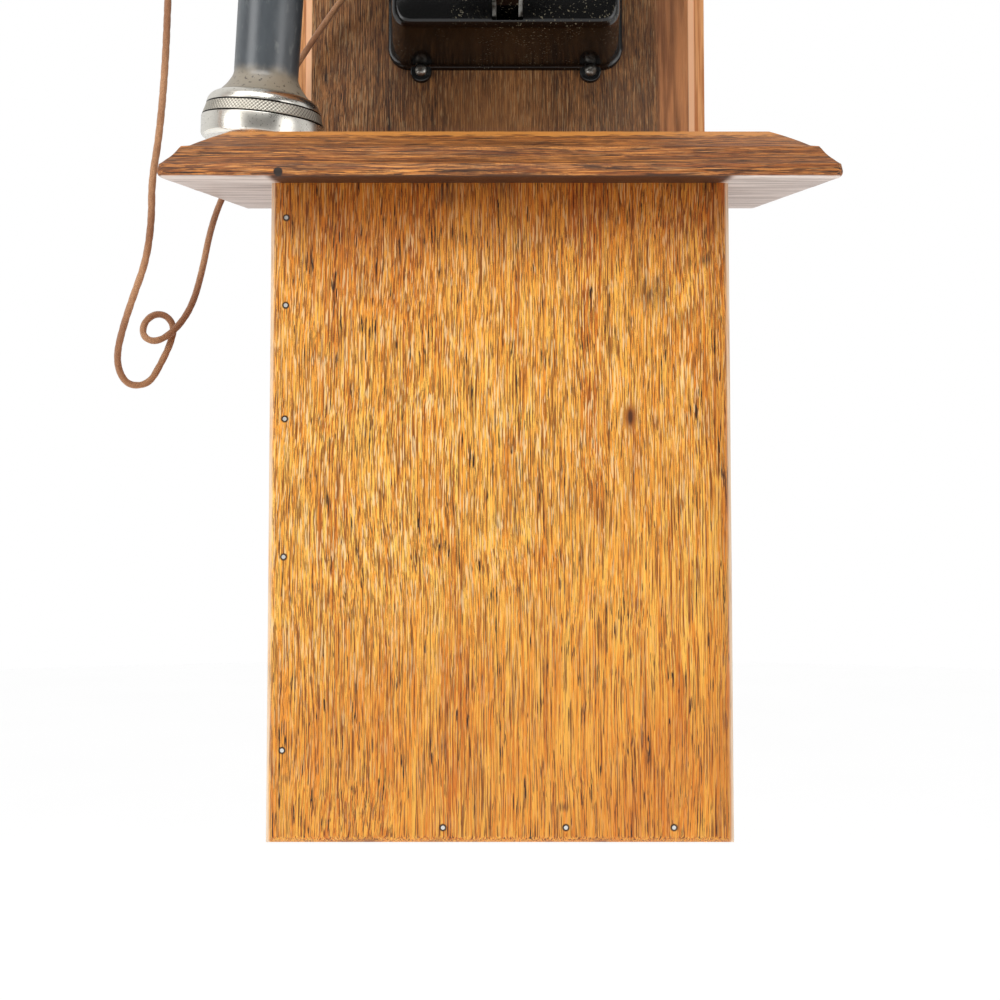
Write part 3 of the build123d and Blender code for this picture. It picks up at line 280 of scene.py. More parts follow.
def smooth_line(points, samples_each):
    """Points along the order-3 NURBS curve that has these control points."""
    curve = bpy.data.curves.new("route", "CURVE")
    curve.dimensions = "3D"
    curve.resolution_u = samples_each
    spline = curve.splines.new("NURBS")
    spline.points.add(len(points) - 1)
    for target, point in zip(spline.points, points):
        target.co = (*point, 1.0)
    spline.order_u = 3
    spline.use_endpoint_u = True
    holder = bpy.data.objects.new("route", curve)
    bpy.context.scene.collection.objects.link(holder)
    bpy.context.view_layer.update()
    line = bpy.data.meshes.new_from_object(holder)
    found = [vertex.co.copy() for vertex in line.vertices]
    bpy.data.objects.remove(holder)
    bpy.data.curves.remove(curve)
    bpy.data.meshes.remove(line)
    return found


def evenly(points, step):
    """Resamples a line at an even step."""
    lengths = [0.0]
    for a, b in zip(points, points[1:]):
        lengths.append(lengths[-1] + (b - a).length)
    count = max(2, round(lengths[-1] / step))
    target = np.linspace(0.0, lengths[-1], count + 1)
    columns = [np.interp(target, lengths, [p[i] for p in points]) for i in range(3)]
    return [Vector(p) for p in zip(*columns)], lengths[-1]


RING_STEP, CURVE_SAMPLES = 0.35 * MM, 24
cord_line, cord_length = evenly(smooth_line(cord_points, CURVE_SAMPLES), RING_STEP)
print("cord length", round(cord_length, 4), "m,", len(cord_line), "rings")

# %% [markdown]
# # The braid's surface
# A round tube would do from afar, but the light that grazes a braid shows its crossing strands. They
# are geometry here: the tube's radius rises and falls in two spirals that run opposite ways. The
# ring's directions are carried from one ring to the next, so the strands never jump at a bend.

# %% Cord tube
def tube(points, radius_at, sides):
    """Skin of a tube whose radius is a function of ring number and angle."""
    bm = bmesh.new()
    rings = []
    side = Vector((0, 1, 0))
    angles = [2 * math.pi * corner / sides for corner in range(sides)]
    for index, point in enumerate(points):
        ahead = points[min(index + 1, len(points) - 1)] - points[max(index - 1, 0)]
        ahead.normalize()
        side = (side - ahead * side.dot(ahead)).normalized()
        other = ahead.cross(side)
        ring = []
        for angle in angles:
            reach = radius_at(index, angle)
            outward = side * (reach * math.cos(angle)) + other * (reach * math.sin(angle))
            ring.append(bm.verts.new(point + outward))
        rings.append(ring)
    for lower, upper in zip(rings, rings[1:]):
        bridge(bm, lower, upper)
    bm.faces.new(list(reversed(rings[0])))
    bm.faces.new(rings[-1])
    return bm


BRAID_DEPTH = 0.10 * MM
BRAID_STRANDS = 8
BRAID_TURN_RINGS = 24
CORD_SIDES = 24


def braid_radius(index, angle):
    """Two crossing spirals of cotton strands; the higher one shows."""
    along = 2 * math.pi * index / BRAID_TURN_RINGS
    right = math.cos(BRAID_STRANDS * angle / 2 + along)
    left = math.cos(BRAID_STRANDS * angle / 2 - along)
    return CORD_DIAMETER / 2 - BRAID_DEPTH + BRAID_DEPTH * max(right, left)


braid = tube(cord_line, braid_radius, CORD_SIDES)
print("braid faces", len(braid.faces))

# %% [markdown]
# # Cotton for the braid
# Old cotton is dull, with a slight fuzz that catches light at its edges, and its colour drifts along
# its length where hands have rubbed it. Sheen gives the fuzz, and two noises give the drift.

# %% Cotton finish
def cotton(name, dark, light):
    """Dull cotton whose colour drifts along the cord and from strand to strand."""
    g = Graph(name)
    drift = g.noise(g.place, 28.0, 3.0)
    thread = g.noise(g.stretched((2600, 2600, 1400)), 1.0, 2.0)
    drifted = g.mix(g.between(drift, 0.3, 0.7), dark, light)
    threads = g.mix(g.between(thread, 0.35, 0.7), drifted, rgb(104, 66, 40))
    tone = g.mix(0.55, threads, drifted)
    g.set(Base_Color=tone, Roughness=0.85, Sheen_Weight=0.35, Sheen_Roughness=0.5)
    return g.set(Normal=g.bump(thread, 0.5, 0.2 * MM))


cord_cotton = cotton("braided cotton", rgb(150, 100, 66), rgb(196, 146, 104))
cord = add_mesh("receiver_cord", braid, cord_cotton)
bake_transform(cord)
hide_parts("cord_receiver_strand", "cord_case_strand")
print("cord", CORD_DIAMETER / MM, "mm thick, from the receiver's tail to the transmitter case")

# %% [markdown]
# # Oak
# Oak shows three things at once: slow bands of darker and lighter growth, fine straight fibre, and
# open pores that varnish and dirt have turned into short dark dashes. Where the board is cut near the
# ray, short pale flecks shine between the pores. A wood image would repeat and blur up close, so each
# of these is one noise, stretched twenty to a hundred times along the grain, and thresholds turn it
# into dashes. The same masks drive the bump, so what looks like a pore is also a dent.

# %% Oak finish
def oak(name, dark, middle, pale, grain=GRAIN_UP, fleck=0.7, seed=0.0, gloss=0.34, stain=None,
        pore_colour=rgb(112, 54, 16), dash_colour=rgb(36, 22, 20), fade=None):
    """Varnished oak; stain adds this board's own marks, fade says where the pale flecks stay."""
    g = Graph(name)

    def lie(fine, long):
        """Scale with the long axis along the grain."""
        return (fine, fine, long) if grain == GRAIN_UP else (long, fine, fine)

    sway = g.noise(g.stretched(lie(16, 7), (seed, seed, seed)), 1.0, 2.0)
    bent = g.tree.nodes.new("ShaderNodeVectorMath")
    bent.operation = "MULTIPLY_ADD"
    g.tree.links.new(sway, bent.inputs[0])
    bent.inputs[1].default_value = (0.008, 0.008, 0.0) if grain == GRAIN_UP else (0.0, 0.008, 0.008)
    g.tree.links.new(g.place, bent.inputs[2])

    def grain_noise(fine, long, offset, detail=2.0, roughness=0.5):
        """Noise drawn out along the swaying grain."""
        place = g.stretched(lie(fine, long), offset, bent.outputs[0])
        return g.noise(place, 1.0, detail, roughness)

    def shifted(value, other, share):
        """A value moved up or down by how far another noise is from its middle."""
        return g.maths("ADD", value, g.product(g.maths("SUBTRACT", other, 0.5), share))

    bands = grain_noise(60, 3, (seed * 2, 1.0, seed), 3.0, 0.6)
    fibre = grain_noise(1650, 15, (seed, 0.0, seed * 3), 3.0, 0.65)
    cloud = g.noise(g.stretched((10, 10, 10), (seed * 5, seed, 0.0)), 1.0, 3.0)
    ragged = g.noise(g.stretched((1900, 1900, 1900)), 1.0, 1.0)
    crowd = grain_noise(170, 40, (seed, 4.0, 2.0))
    pores = grain_noise(2000, 105, (seed, seed * 2, 5.0), 2.0, 0.6)
    pore_mask = g.between(shifted(pores, ragged, 0.2), 0.51, 0.60)
    lines = grain_noise(1900, 34, (seed * 4, 3.0, seed), 3.0, 0.6)
    line_mask = g.between(lines, 0.53, 0.59)
    dashes = grain_noise(1700, 72, (seed * 3, 9.0, seed), 2.0, 0.55)
    dash_mask = g.between(shifted(dashes, crowd, 0.36), 0.63, 0.67)
    rays = grain_noise(1500, 88, (seed * 3, 7.0, seed), 1.5, 0.5)
    rays = g.maths("SUBTRACT", rays, g.product(g.maths("SUBTRACT", crowd, 0.5), 0.2))
    ray_mask = g.between(rays, 0.585, 0.64)
    if fade is not None:
        ray_mask = g.product(ray_mask, fade(g))
        pore_mask = g.product(pore_mask, fade(g))
    pore_mask = g.maths("MAXIMUM", g.product(pore_mask, 0.8), line_mask)

    colour = g.mix(g.between(bands, 0.36, 0.62), dark, middle)
    colour = g.mix(g.between(fibre, 0.44, 0.58), colour, pale)
    colour = g.mix(g.product(g.between(cloud, 0.42, 0.72), 0.4), colour, dark)
    colour = g.mix(g.product(pore_mask, 0.85), colour, pore_colour)
    colour = g.mix(g.product(ray_mask, fleck), colour, rgb(255, 220, 162))
    colour = g.mix(g.product(dash_mask, 0.95), colour, dash_colour)
    if stain is not None:
        colour = stain(g, colour)
    sunk = g.maths("MAXIMUM", pore_mask, dash_mask)
    relief = g.maths("SUBTRACT", g.product(ray_mask, 0.35), sunk)
    g.set(Base_Color=colour, Roughness=g.between(fibre, 0.3, 0.8, gloss, gloss + 0.16))
    g.set(Normal=g.bump(relief, 0.35, 0.2 * MM))
    return g.set(Specular_IOR_Level=0.36, Coat_Weight=0.06, Coat_Roughness=0.2)


print("oak is one graph; five boards below take it with their own colours and marks")

# %% [markdown]
# # This telephone's own marks, with painted shade and highlights
# No two boards age alike. The front board is darker along its right edge and has painted shade under
# the shelf, where its stain is also darker; it has sooty smudges on the upper right, a pin knot, a
# scuffed lower edge, a dark ring of corrosion round each brad, and a painted highlight down the
# rounded edges at its front. The backboard is darker round the case. The shelf has a painted
# highlight along its moulding and painted shade under its overhang. Painting them on an image would
# need the boards unwrapped, so each mark is a soft mask by distance from a place, broken up along the
# grain, and it stays put from any angle.

# %% Board marks
BRAD_PLACES = [(-101.5, height) for height in (43, 133, 198, 252, 294)]
BRAD_PLACES += [(x, 7.5) for x in (-26.5, 30.6, 80.8)]
FRONT_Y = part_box("battery_front")[0].y
FACE_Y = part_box("backboard")[0].y
BOX_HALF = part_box("battery_front")[1].x
SHELF_HALF, SHELF_NOSE, SHELF_BACK = 157.0, -206.0, -19.0
SOOT_SPOTS = (
    (72, 258, 13, 0.75), (98, 274, 5, 0.9), (88, 246, 8, 0.65), (-25, 305, 9, 0.7), (30, 17, 3.2, 0.8),
    (-62, 262, 10, 0.35), (-100, 30, 3.0, 0.5), (0, 310, 14, 0.5),
)                                        # across, height, reach, strength
KNOT_X, KNOT_HEIGHT = 61.5, 199
FIELD_HALF, FIELD_BEVEL = 120.0, 4.5     # half width of the backboard's raised field, and its bevel


def dark_patch(g, colour, point, reach, strength, tone, ragged=0.6):
    """Soft-edged dark patch, broken up and streaked along the grain."""
    broken = g.noise(g.stretched((150, 150, 40)), 1.0, 3.0)
    streaks = g.noise(g.stretched((900, 900, 130), (4.0, 2.0, 1.0)), 1.0, 3.0, 0.65)
    edge = g.maths("ADD", g.distance(point), g.product(broken, reach * ragged))
    mask = g.between(edge, reach * (1 + ragged * 0.5), reach * 0.35)
    mask = g.product(mask, g.between(streaks, 0.36, 0.62, 0.25, 1.0))
    return g.mix(g.product(mask, strength), colour, tone)


def front_marks(g, colour):
    """Painted shade under the shelf over a darker stain, a dark foot, smudges, a pin knot, brad rings and a
    painted highlight down the front's side edges.
    """
    height = g.axis("Z")
    ragged = g.noise(g.stretched((60, 60, 18)), 1.0, 3.0)
    level = g.maths("ADD", height, g.product(ragged, 22 * MM))
    # Painted shade under the shelf, over a darker stain there: the board darkens towards the shelf.
    under_shelf = g.between(level, up(268), up(318))
    colour = g.mix(under_shelf, colour, rgb(204, 180, 164), "MULTIPLY")
    redder = g.between(level, up(190), up(300))
    colour = g.mix(redder, colour, rgb(248, 236, 224), "MULTIPLY")
    side = g.between(g.axis("X"), 92 * MM, 108 * MM)
    colour = g.mix(side, colour, rgb(226, 214, 206), "MULTIPLY")
    foot = g.between(level, up(13), up(6))
    colour = g.mix(foot, colour, rgb(150, 118, 104), "MULTIPLY")
    low = g.between(level, up(165), up(40))
    colour = g.mix(low, colour, rgb(240, 224, 206), "MULTIPLY")
    for x, high, reach, strength in SOOT_SPOTS:
        place = (x * MM, FRONT_Y, up(high))
        colour = dark_patch(g, colour, place, reach * MM, strength, rgb(58, 36, 26))
    knot = (KNOT_X * MM, FRONT_Y, up(KNOT_HEIGHT))
    halo = g.between(g.distance(knot, 0.5), 4.8 * MM, 1.2 * MM, 0.0, 0.85)
    colour = g.mix(halo, colour, rgb(134, 66, 22))
    heart = g.between(g.distance(knot, 0.35), 1.7 * MM, 0.6 * MM, 0.0, 0.9)
    colour = g.mix(heart, colour, rgb(66, 34, 16))
    for x, high in BRAD_PLACES:
        near = g.distance((x * MM, FRONT_Y, up(high)))
        colour = g.mix(g.between(near, 2.1 * MM, 1.3 * MM), colour, rgb(52, 36, 28))
    # Painted highlight: the rounded side edges at the front are painted pale cream.
    edge = g.between(g.maths("ABSOLUTE", g.axis("X")), BOX_HALF - 2.8 * MM, BOX_HALF - 1.2 * MM)
    at_front = g.between(g.axis("Y"), FRONT_Y + 4.5 * MM, FRONT_Y + 2.5 * MM)
    # This noise only breaks the painted highlight into patches.
    worn = g.noise(g.stretched((500, 500, 26), (3.0, 0.0, 8.0)), 1.0, 3.0)
    edge_highlight = g.product(edge, at_front, g.between(worn, 0.3, 0.6, 0.35, 0.95))
    return g.mix(edge_highlight, colour, rgb(238, 210, 178))


def front_flecks(g):
    """Flecks are strong at the upper left and fade to straight grain at the lower right."""
    slant = g.maths("SUBTRACT", g.axis("Z"), g.product(g.axis("X"), 0.7))
    return g.between(slant, up(20), up(200), 0.25, 1.0)


def backboard_marks(g, colour):
    """Darker round the case, a cleaner strip at the right, a lighter middle and a pale worn bevel."""
    case_low, case_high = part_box("transmitter_case")
    centre_x = ((case_low + case_high) / 2).x
    # Darker patches either side of the case, and one lower down to its right.
    for aside, strength in ((-55, 0.55), (60, 0.6)):
        place = (centre_x + aside * MM, FACE_Y, up(440))
        colour = dark_patch(g, colour, place, 66 * MM, strength, rgb(44, 33, 25), 0.5)
    colour = dark_patch(g, colour, (78 * MM, FACE_Y, up(400)), 45 * MM, 0.55, rgb(104, 78, 58), 0.5)
    leaning = g.maths("ADD", g.axis("X"), g.product(g.axis("Z"), 0.02))
    strip = g.between(leaning, 92.5 * MM, 97.5 * MM)
    strip_grain = g.noise(g.stretched((260, 10, 14)), 1.0, 3.0)
    strip_tone = g.mix(g.between(strip_grain, 0.35, 0.65), rgb(136, 84, 48), rgb(196, 130, 80))
    colour = g.mix(g.product(strip, 0.85), colour, strip_tone)
    middle = g.distance((-4 * MM, FACE_Y, up(392)))
    colour = g.mix(g.between(middle, 55 * MM, 8 * MM, 0.0, 0.45), colour, rgb(168, 114, 66))
    across = g.maths("ABSOLUTE", g.axis("X"))
    rim = g.between(across, (FIELD_HALF + 0.2) * MM, (FIELD_HALF + 1.0) * MM)
    rim_grain = g.noise(g.stretched((900, 900, 22)), 1.0, 3.0)
    rim_tone = g.mix(g.between(rim_grain, 0.36, 0.64), rgb(196, 122, 68), rgb(246, 184, 122))
    colour = g.mix(g.product(rim, 0.72), colour, rim_tone)
    flat = FIELD_HALF - FIELD_BEVEL
    bevel = g.maths("SUBTRACT", g.between(across, (flat + 0.2) * MM, (flat + 0.8) * MM), rim)
    return g.mix(g.product(bevel, 0.9), colour, rgb(246, 190, 146))


def shelf_marks(g, colour):
    """Pale raw wood below, painted shade on dark varnish under the overhang, a painted highlight along the
    top, dark weathered streaks.
    """
    streak = g.noise(g.stretched((22, 420, 700)), 1.0, 4.0, 0.65)
    colour = g.mix(g.between(streak, 0.52, 0.64, 0.0, 0.8), colour, rgb(84, 46, 20))
    cracks = g.noise(g.stretched((34, 900, 1100), (2.0, 5.0, 1.0)), 1.0, 3.0, 0.6)
    colour = g.mix(g.between(cracks, 0.57, 0.62, 0.0, 0.9), colour, rgb(52, 30, 16))
    from_side = g.maths("SUBTRACT", SHELF_HALF * MM, g.maths("ABSOLUTE", g.axis("X")))
    from_nose = g.maths("SUBTRACT", g.axis("Y"), SHELF_NOSE * MM)
    uneven = g.product(g.noise(g.stretched((150, 90, 600)), 1.0, 3.0), 12 * MM)
    inward = g.maths("ADD", g.maths("MINIMUM", from_side, from_nose), uneven)
    # Painted highlight along the top of the moulding, where light from above falls, with a ragged edge.
    lip = g.maths("SUBTRACT", g.between(inward, 27.5 * MM, 30 * MM),
                  g.between(inward, 33 * MM, 38 * MM))
    colour = g.mix(g.product(lip, 0.7), colour, rgb(240, 160, 74))
    colour = dark_patch(g, colour, (0.0, FRONT_Y - 20 * MM, up(308)), 50 * MM, 0.35, rgb(96, 60, 36), 0.5)
    facing = g.tree.nodes.new("ShaderNodeNewGeometry")
    split = g.tree.nodes.new("ShaderNodeSeparateXYZ")
    g.tree.links.new(facing.outputs["Normal"], split.inputs[0])
    below = g.between(split.outputs["Z"], -0.6, -0.85)
    # The underside in front of the box is painted dark brown: darker varnish there, and painted shade under
    # the overhang.
    before_box = g.between(g.maths("ABSOLUTE", g.axis("X")), BOX_HALF - 1 * MM, BOX_HALF - 6 * MM)
    colour = g.mix(g.product(below, before_box), colour, rgb(70, 38, 18))
    below = g.product(below, g.maths("SUBTRACT", 1.0, before_box))
    raw = g.noise(g.stretched((14, 260, 260)), 1.0, 4.0, 0.6)
    raw_tone = g.mix(g.between(raw, 0.35, 0.7), rgb(224, 212, 204), rgb(150, 132, 122))
    colour = g.mix(below, colour, raw_tone)
    plug = g.distance((-101 * MM, FRONT_Y - 24.8 * MM, up(308.2)))
    return g.mix(g.between(plug, 2.4 * MM, 1.8 * MM), colour, rgb(40, 28, 22))


print(len(BRAD_PLACES), "brads and", len(SOOT_SPOTS), "smudges placed on the front board")

# %% [markdown]
# # Five boards of oak
# The boards came from different planks and have lived differently: the front is honey-coloured from
# handling, the backboard darker, the shelf red-brown. One shared material would make the
# telephone look cut from a single block, so each board gets its own colours, grain and seed.

# %% Oak boards
front_oak = oak("front board oak", rgb(212, 122, 34), rgb(244, 160, 54), rgb(255, 198, 88), seed=3.1,
                stain=front_marks, fade=front_flecks)
box_oak = oak("box oak", rgb(150, 88, 40), rgb(190, 120, 58), rgb(214, 146, 78), fleck=0.25, seed=8.4)
back_oak = oak("backboard oak", rgb(108, 64, 30), rgb(150, 98, 52), rgb(188, 130, 76), fleck=0.22, seed=1.7,
               pore_colour=rgb(58, 36, 22), dash_colour=rgb(34, 24, 18), stain=backboard_marks, gloss=0.45)
shelf_oak = oak("shelf oak", rgb(146, 80, 32), rgb(182, 108, 48), rgb(222, 146, 72), grain=GRAIN_ACROSS,
                fleck=0.1, seed=5.2, pore_colour=rgb(88, 48, 24), stain=shelf_marks, gloss=0.42)
door_oak = oak("door oak", rgb(176, 104, 44), rgb(214, 142, 66), rgb(236, 172, 90), fleck=0.4, seed=11.3)
dress(box_oak, "battery_sides", "battery_bottom", "ringer_box_left_side", "ringer_box_right_side",
      "ringer_box_floor", "generator_shelf")
dress(door_oak, "ringer_box_door", "ringer_box_top")
dress(back_oak, "backboard")
dress(front_oak, "battery_front")
for board in (front_oak, box_oak, back_oak, shelf_oak, door_oak):
    print(board.name, "has", len(board.node_tree.nodes), "nodes")

# %% [markdown]
# # Metals
# The nickel is a hundred years old: bright where fingers polish it, grey-brown in its hollows, with
# fine scratches. One graph serves nickel, brass and steel; only the colours and the amount of
# tarnish change. Roughness follows the tarnish, because a dull patch is also a rough one.

# %% Metal finishes
def old_metal(name, bright, tarnish, amount=0.5, polish=0.16, scale=60.0, seed=0.0):
    """Polished metal with fine scratches, and tarnish in soft patches and specks."""
    g = Graph(name)
    patch = g.noise(g.stretched((scale, scale, scale), (seed, 0, seed)), 1.0, 5.0, 0.62)
    speck = g.noise(g.stretched((900, 900, 900)), 1.0, 2.0)
    scratch = g.noise(g.stretched((180, 2200, 180), (0, seed, 0)), 1.0, 3.0)
    mask = g.between(patch, 0.62 - amount * 0.3, 0.78 - amount * 0.2)
    mask = g.maths("MAXIMUM", mask, g.between(speck, 0.64, 0.72, 0.0, 0.55))
    g.set(Base_Color=g.mix(mask, bright, tarnish), Metallic=1.0)
    dull = g.between(mask, 0.0, 1.0, polish, polish + 0.28)
    g.set(Roughness=g.maths("ADD", dull, g.product(scratch, 0.10)))
    return g.set(Normal=g.bump(g.maths("ADD", speck, scratch), 0.12, 0.0001))


def brad_heads():
    """Each head is bright in the middle from handling and dark with corrosion round its rim."""
    g = Graph("brad heads")
    tone = rgb(72, 60, 52)
    for x, high in BRAD_PLACES:
        near = g.distance((x * MM, FRONT_Y, up(high)))
        tone = g.mix(g.between(near, 1.1 * MM, 0.8 * MM), tone, rgb(240, 238, 232))
    return g.set(Base_Color=tone, Metallic=1.0, Roughness=0.42)


nickel = old_metal("worn nickel", rgb(236, 232, 222), rgb(150, 136, 114), 0.42)
brass = old_metal("dull brass", rgb(214, 172, 96), rgb(120, 88, 48), 0.7, 0.24, 80.0, 4.0)
steel = old_metal("plain steel", rgb(168, 166, 160), rgb(96, 86, 76), 0.6, 0.3, 110.0, 9.0)
iron = old_metal("bare iron", rgb(96, 94, 92), rgb(62, 52, 46), 0.8, 0.4, 130.0, 2.0)
dress(nickel, "door_knob", "gong_left", "gong_right", "crank_arm", "receiver_tail",
      "hook_lever", "transmitter_face")
dress(brass, "cell_terminals", "hinge_fixed_leaves", "hinge_door_leaves", "clapper",
      "generator_frame", "drive_gear", "crank_bushing", "receiver_terminal", "contact_springs",
      "line_posts", "carbon_button")
dress(steel, "gong_posts", "ringer_frame", "pinion", "crank_shaft", "hook_bracket", "pivot_pins",
      "case_screws", "arm_bracket")
dress(brad_heads(), "front_brads")
dress(iron, "pole_pieces", "armature", "receiver_diaphragm", "induction_core", "transmitter_diaphragm")
print("metals:", ", ".join(metal.name for metal in (nickel, brass, steel, iron)))

# %% [markdown]
# # Writing shelf
# The shelf's edge is a moulding that runs along both sides and the front and meets in mitres. The
# modelled frame has it sharp, and a bevel modifier would round every edge alike. A century of
# sleeves has rounded the nose only at its corners and left the long edges a little uneven, so this
# piece sweeps the same section round the three sides, with a small corner radius and a fraction of
# a millimetre of wander.

# %% Writing shelf
SHELF_UNDERSIDE, SHELF_THICK, SHELF_SLOPE = 305.4, 25.2, math.tan(math.radians(12.2))
NOSE_CORNER_R, SHELF_WEAR = 4.0, 0.22
SIDE_POINTS, CORNER_STEPS, NOSE_POINTS = 60, 8, 150


def arc_through(a, b, c, steps):
    """Points from a to c along the circle through b, without a itself."""
    ax, ay, bx, by, cx, cy = *a, *b, *c
    d = 2 * (ax * (by - cy) + bx * (cy - ay) + cx * (ay - by))
    sa, sb, sc = ax * ax + ay * ay, bx * bx + by * by, cx * cx + cy * cy
    ox = (sa * (by - cy) + sb * (cy - ay) + sc * (ay - by)) / d
    oy = (sa * (cx - bx) + sb * (ax - cx) + sc * (bx - ax)) / d
    radius = math.dist((ox, oy), a)
    first = math.atan2(ay - oy, ax - ox)
    whole = math.remainder(math.atan2(cy - oy, cx - ox) - first, 2 * math.pi)
    part = math.remainder(math.atan2(by - oy, bx - ox) - first, 2 * math.pi)
    if whole * part < 0:
        whole -= math.copysign(2 * math.pi, whole)
    angles = [first + whole * i / steps for i in range(1, steps + 1)]
    return [(ox + radius * math.cos(angle), oy + radius * math.sin(angle)) for angle in angles]


def moulding_section():
    """Inward distance and height of the moulded edge, from the underside up to the flat top."""
    section = [(3.0, 0.0)]
    section += arc_through((3.0, 0.0), (0.7, 1.1), (0.0, 3.5), 7)
    section += [(0.7, 6.6)]
    section += arc_through((0.7, 6.6), (4.6, 9.5), (8.2, 14.3), 8)
    section += [(9.2, 15.7), (12.4, 16.4)]
    section += arc_through((12.4, 16.4), (21.7, 22.0), (28.0, SHELF_THICK), 8)
    return section


def shelf_path(inward):
    """Plan outline of the three moulded sides, moved inward, from the left back to the right back."""
    left, front = -SHELF_HALF + inward, SHELF_NOSE + inward
    radius = max(NOSE_CORNER_R - inward, 0.05)
    side = [(left, y) for y in np.linspace(SHELF_BACK, front + radius, SIDE_POINTS)[:-1]]
    corner = []
    for step in range(CORNER_STEPS + 1):
        angle = math.pi + math.pi / 2 * step / CORNER_STEPS
        x, y = left + radius + radius * math.cos(angle), front + radius + radius * math.sin(angle)
        corner.append((x, y))
    half = side + corner
    along = [(x, front) for x in np.linspace(left + radius, -left - radius, NOSE_POINTS)[1:-1]]
    return half + along + [(-x, y) for x, y in reversed(half)]


def shelf_mesh():
    """The moulding swept round three sides, closed above, below and at the back."""
    bm = bmesh.new()
    rows = []
    for inward, rise in moulding_section():
        row = []
        for x, y in shelf_path(inward):
            wander = noise.noise(Vector((x * 0.045, y * 0.045, rise * 0.12))) * SHELF_WEAR
            wander += noise.noise(Vector((x * 0.23, y * 0.23, rise * 0.3 + 7))) * SHELF_WEAR * 0.5
            height = SHELF_UNDERSIDE + rise + SHELF_SLOPE * (y - SHELF_NOSE) + min(wander, 0.0)
            row.append(bm.verts.new((x * MM, y * MM, up(height))))
        rows.append(row)
    for lower, upper in zip(rows, rows[1:]):
        bridge(bm, lower, upper, closed=False)
    bm.faces.new(rows[-1])
    bm.faces.new(list(reversed(rows[0])))
    bm.faces.new([row[0] for row in rows] + [row[-1] for row in reversed(rows)])
    bmesh.ops.triangulate(bm, faces=[face for face in bm.faces if len(face.verts) > 4])
    bmesh.ops.recalc_face_normals(bm, faces=bm.faces)
    return bm


shelf = add_mesh("worn_writing_shelf", shelf_mesh(), shelf_oak)
shelf.data.set_sharp_from_angle(angle=math.radians(28))
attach(shelf, "root")
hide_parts("writing_shelf")
print("shelf faces", len(shelf.data.polygons))

# %% [markdown]
# # Receiver cap and ring
# Three bands make the receiver's foot: a smooth skirt, a finely knurled band and a smooth shoulder,
# with thin grooves between them. A bump texture could fake the knurl, but its dull sparkle between
# two mirror-bright bands is what makes it read as turned metal. So it is real geometry: rows of
# small diamonds, ninety-six to a row, cut into a profile that is turned round the receiver's axis.

# %% Turned pieces
FOOT_X, FOOT_Y, FOOT_HEIGHT = -129.3, -102.15, 357.0
LEAN_BACK, LEAN_ASIDE = math.radians(9.3), math.radians(5.0)
RECEIVER_PLACE = (Matrix.Translation((FOOT_X * MM, FOOT_Y * MM, up(FOOT_HEIGHT)))
                  @ Matrix.Rotation(LEAN_BACK, 4, "X") @ Matrix.Rotation(LEAN_ASIDE, 4, "Y"))
RECEIVER_AXIS = RECEIVER_PLACE.to_3x3() @ Vector((0.0, 0.0, 1.0))


def turned(profile, sides, ripple=None):
    """Mesh of revolution from a closed list of (radius, height) in millimetres."""
    bm = bmesh.new()
    hollow = bm.verts.layers.float.new("hollow")
    rings = []
    for radius, height in profile:
        ring = []
        for corner in range(sides):
            angle = 2 * math.pi * corner / sides
            sunk = ripple(radius, height, angle) if ripple else 0.0
            reach = (radius - sunk) * MM
            place = Vector((reach * math.cos(angle), reach * math.sin(angle), height * MM))
            ring.append(bm.verts.new(RECEIVER_PLACE @ place))
            ring[-1][hollow] = sunk
        rings.append(ring)
    for ring, above in zip(rings, rings[1:] + rings[:1]):
        bridge(bm, ring, above)
    bmesh.ops.recalc_face_normals(bm, faces=bm.faces)
    return bm


CAP_R, SKIRT_TOP, CAP_TOP, KNURL_TAPER = 32.8, 11.5, 17.7, 2.2
CAP_BORE, EAR_HOLE_R, CAP_FLOOR = 27.4, 9.0, 6.0
KNURL_RIDGES, KNURL_DEPTH, KNURL_PITCH, KNURL_ROWS = 96, 0.18, 2.0, 26
CAP_SIDES, RING_SIDES = 960, 256


def knurl(radius, height, angle):
    """How deep the surface lies between crossed ridges, on the outer face of the knurled band only."""
    if radius < CAP_R - KNURL_TAPER - 0.2 or not SKIRT_TOP + 0.5 < height < CAP_TOP - 0.5:
        return 0.0
    along = 2 * math.pi * height / KNURL_PITCH
    return KNURL_DEPTH * (1.0 - math.cos(KNURL_RIDGES * angle) * math.cos(along))


def cap_profile():
    """Half section of the cap, from its ear hole round the outside and back down the bore."""
    outer = [(EAR_HOLE_R, 0.0), (CAP_R - 2.8, 0.0)]
    outer += arc_through((CAP_R - 2.8, 0.0), (CAP_R - 0.9, 0.8), (CAP_R - 0.2, 2.8), 8)
    outer += [(CAP_R, SKIRT_TOP - 0.7), (CAP_R - 0.15, SKIRT_TOP - 0.4), (CAP_R - 0.8, SKIRT_TOP - 0.15),
              (CAP_R - 0.8, SKIRT_TOP + 0.15)]
    for share in np.linspace(0.0, 1.0, KNURL_ROWS):
        height = SKIRT_TOP + 0.4 + share * (CAP_TOP - SKIRT_TOP - 0.7)
        outer.append((CAP_R - 0.35 - share * (KNURL_TAPER - 0.35), height))
    outer += [(CAP_R - KNURL_TAPER - 0.5, CAP_TOP - 0.1), (CAP_R - KNURL_TAPER - 0.6, CAP_TOP)]
    return outer + [(CAP_BORE, CAP_TOP), (CAP_BORE, CAP_FLOOR), (EAR_HOLE_R, CAP_FLOOR)]


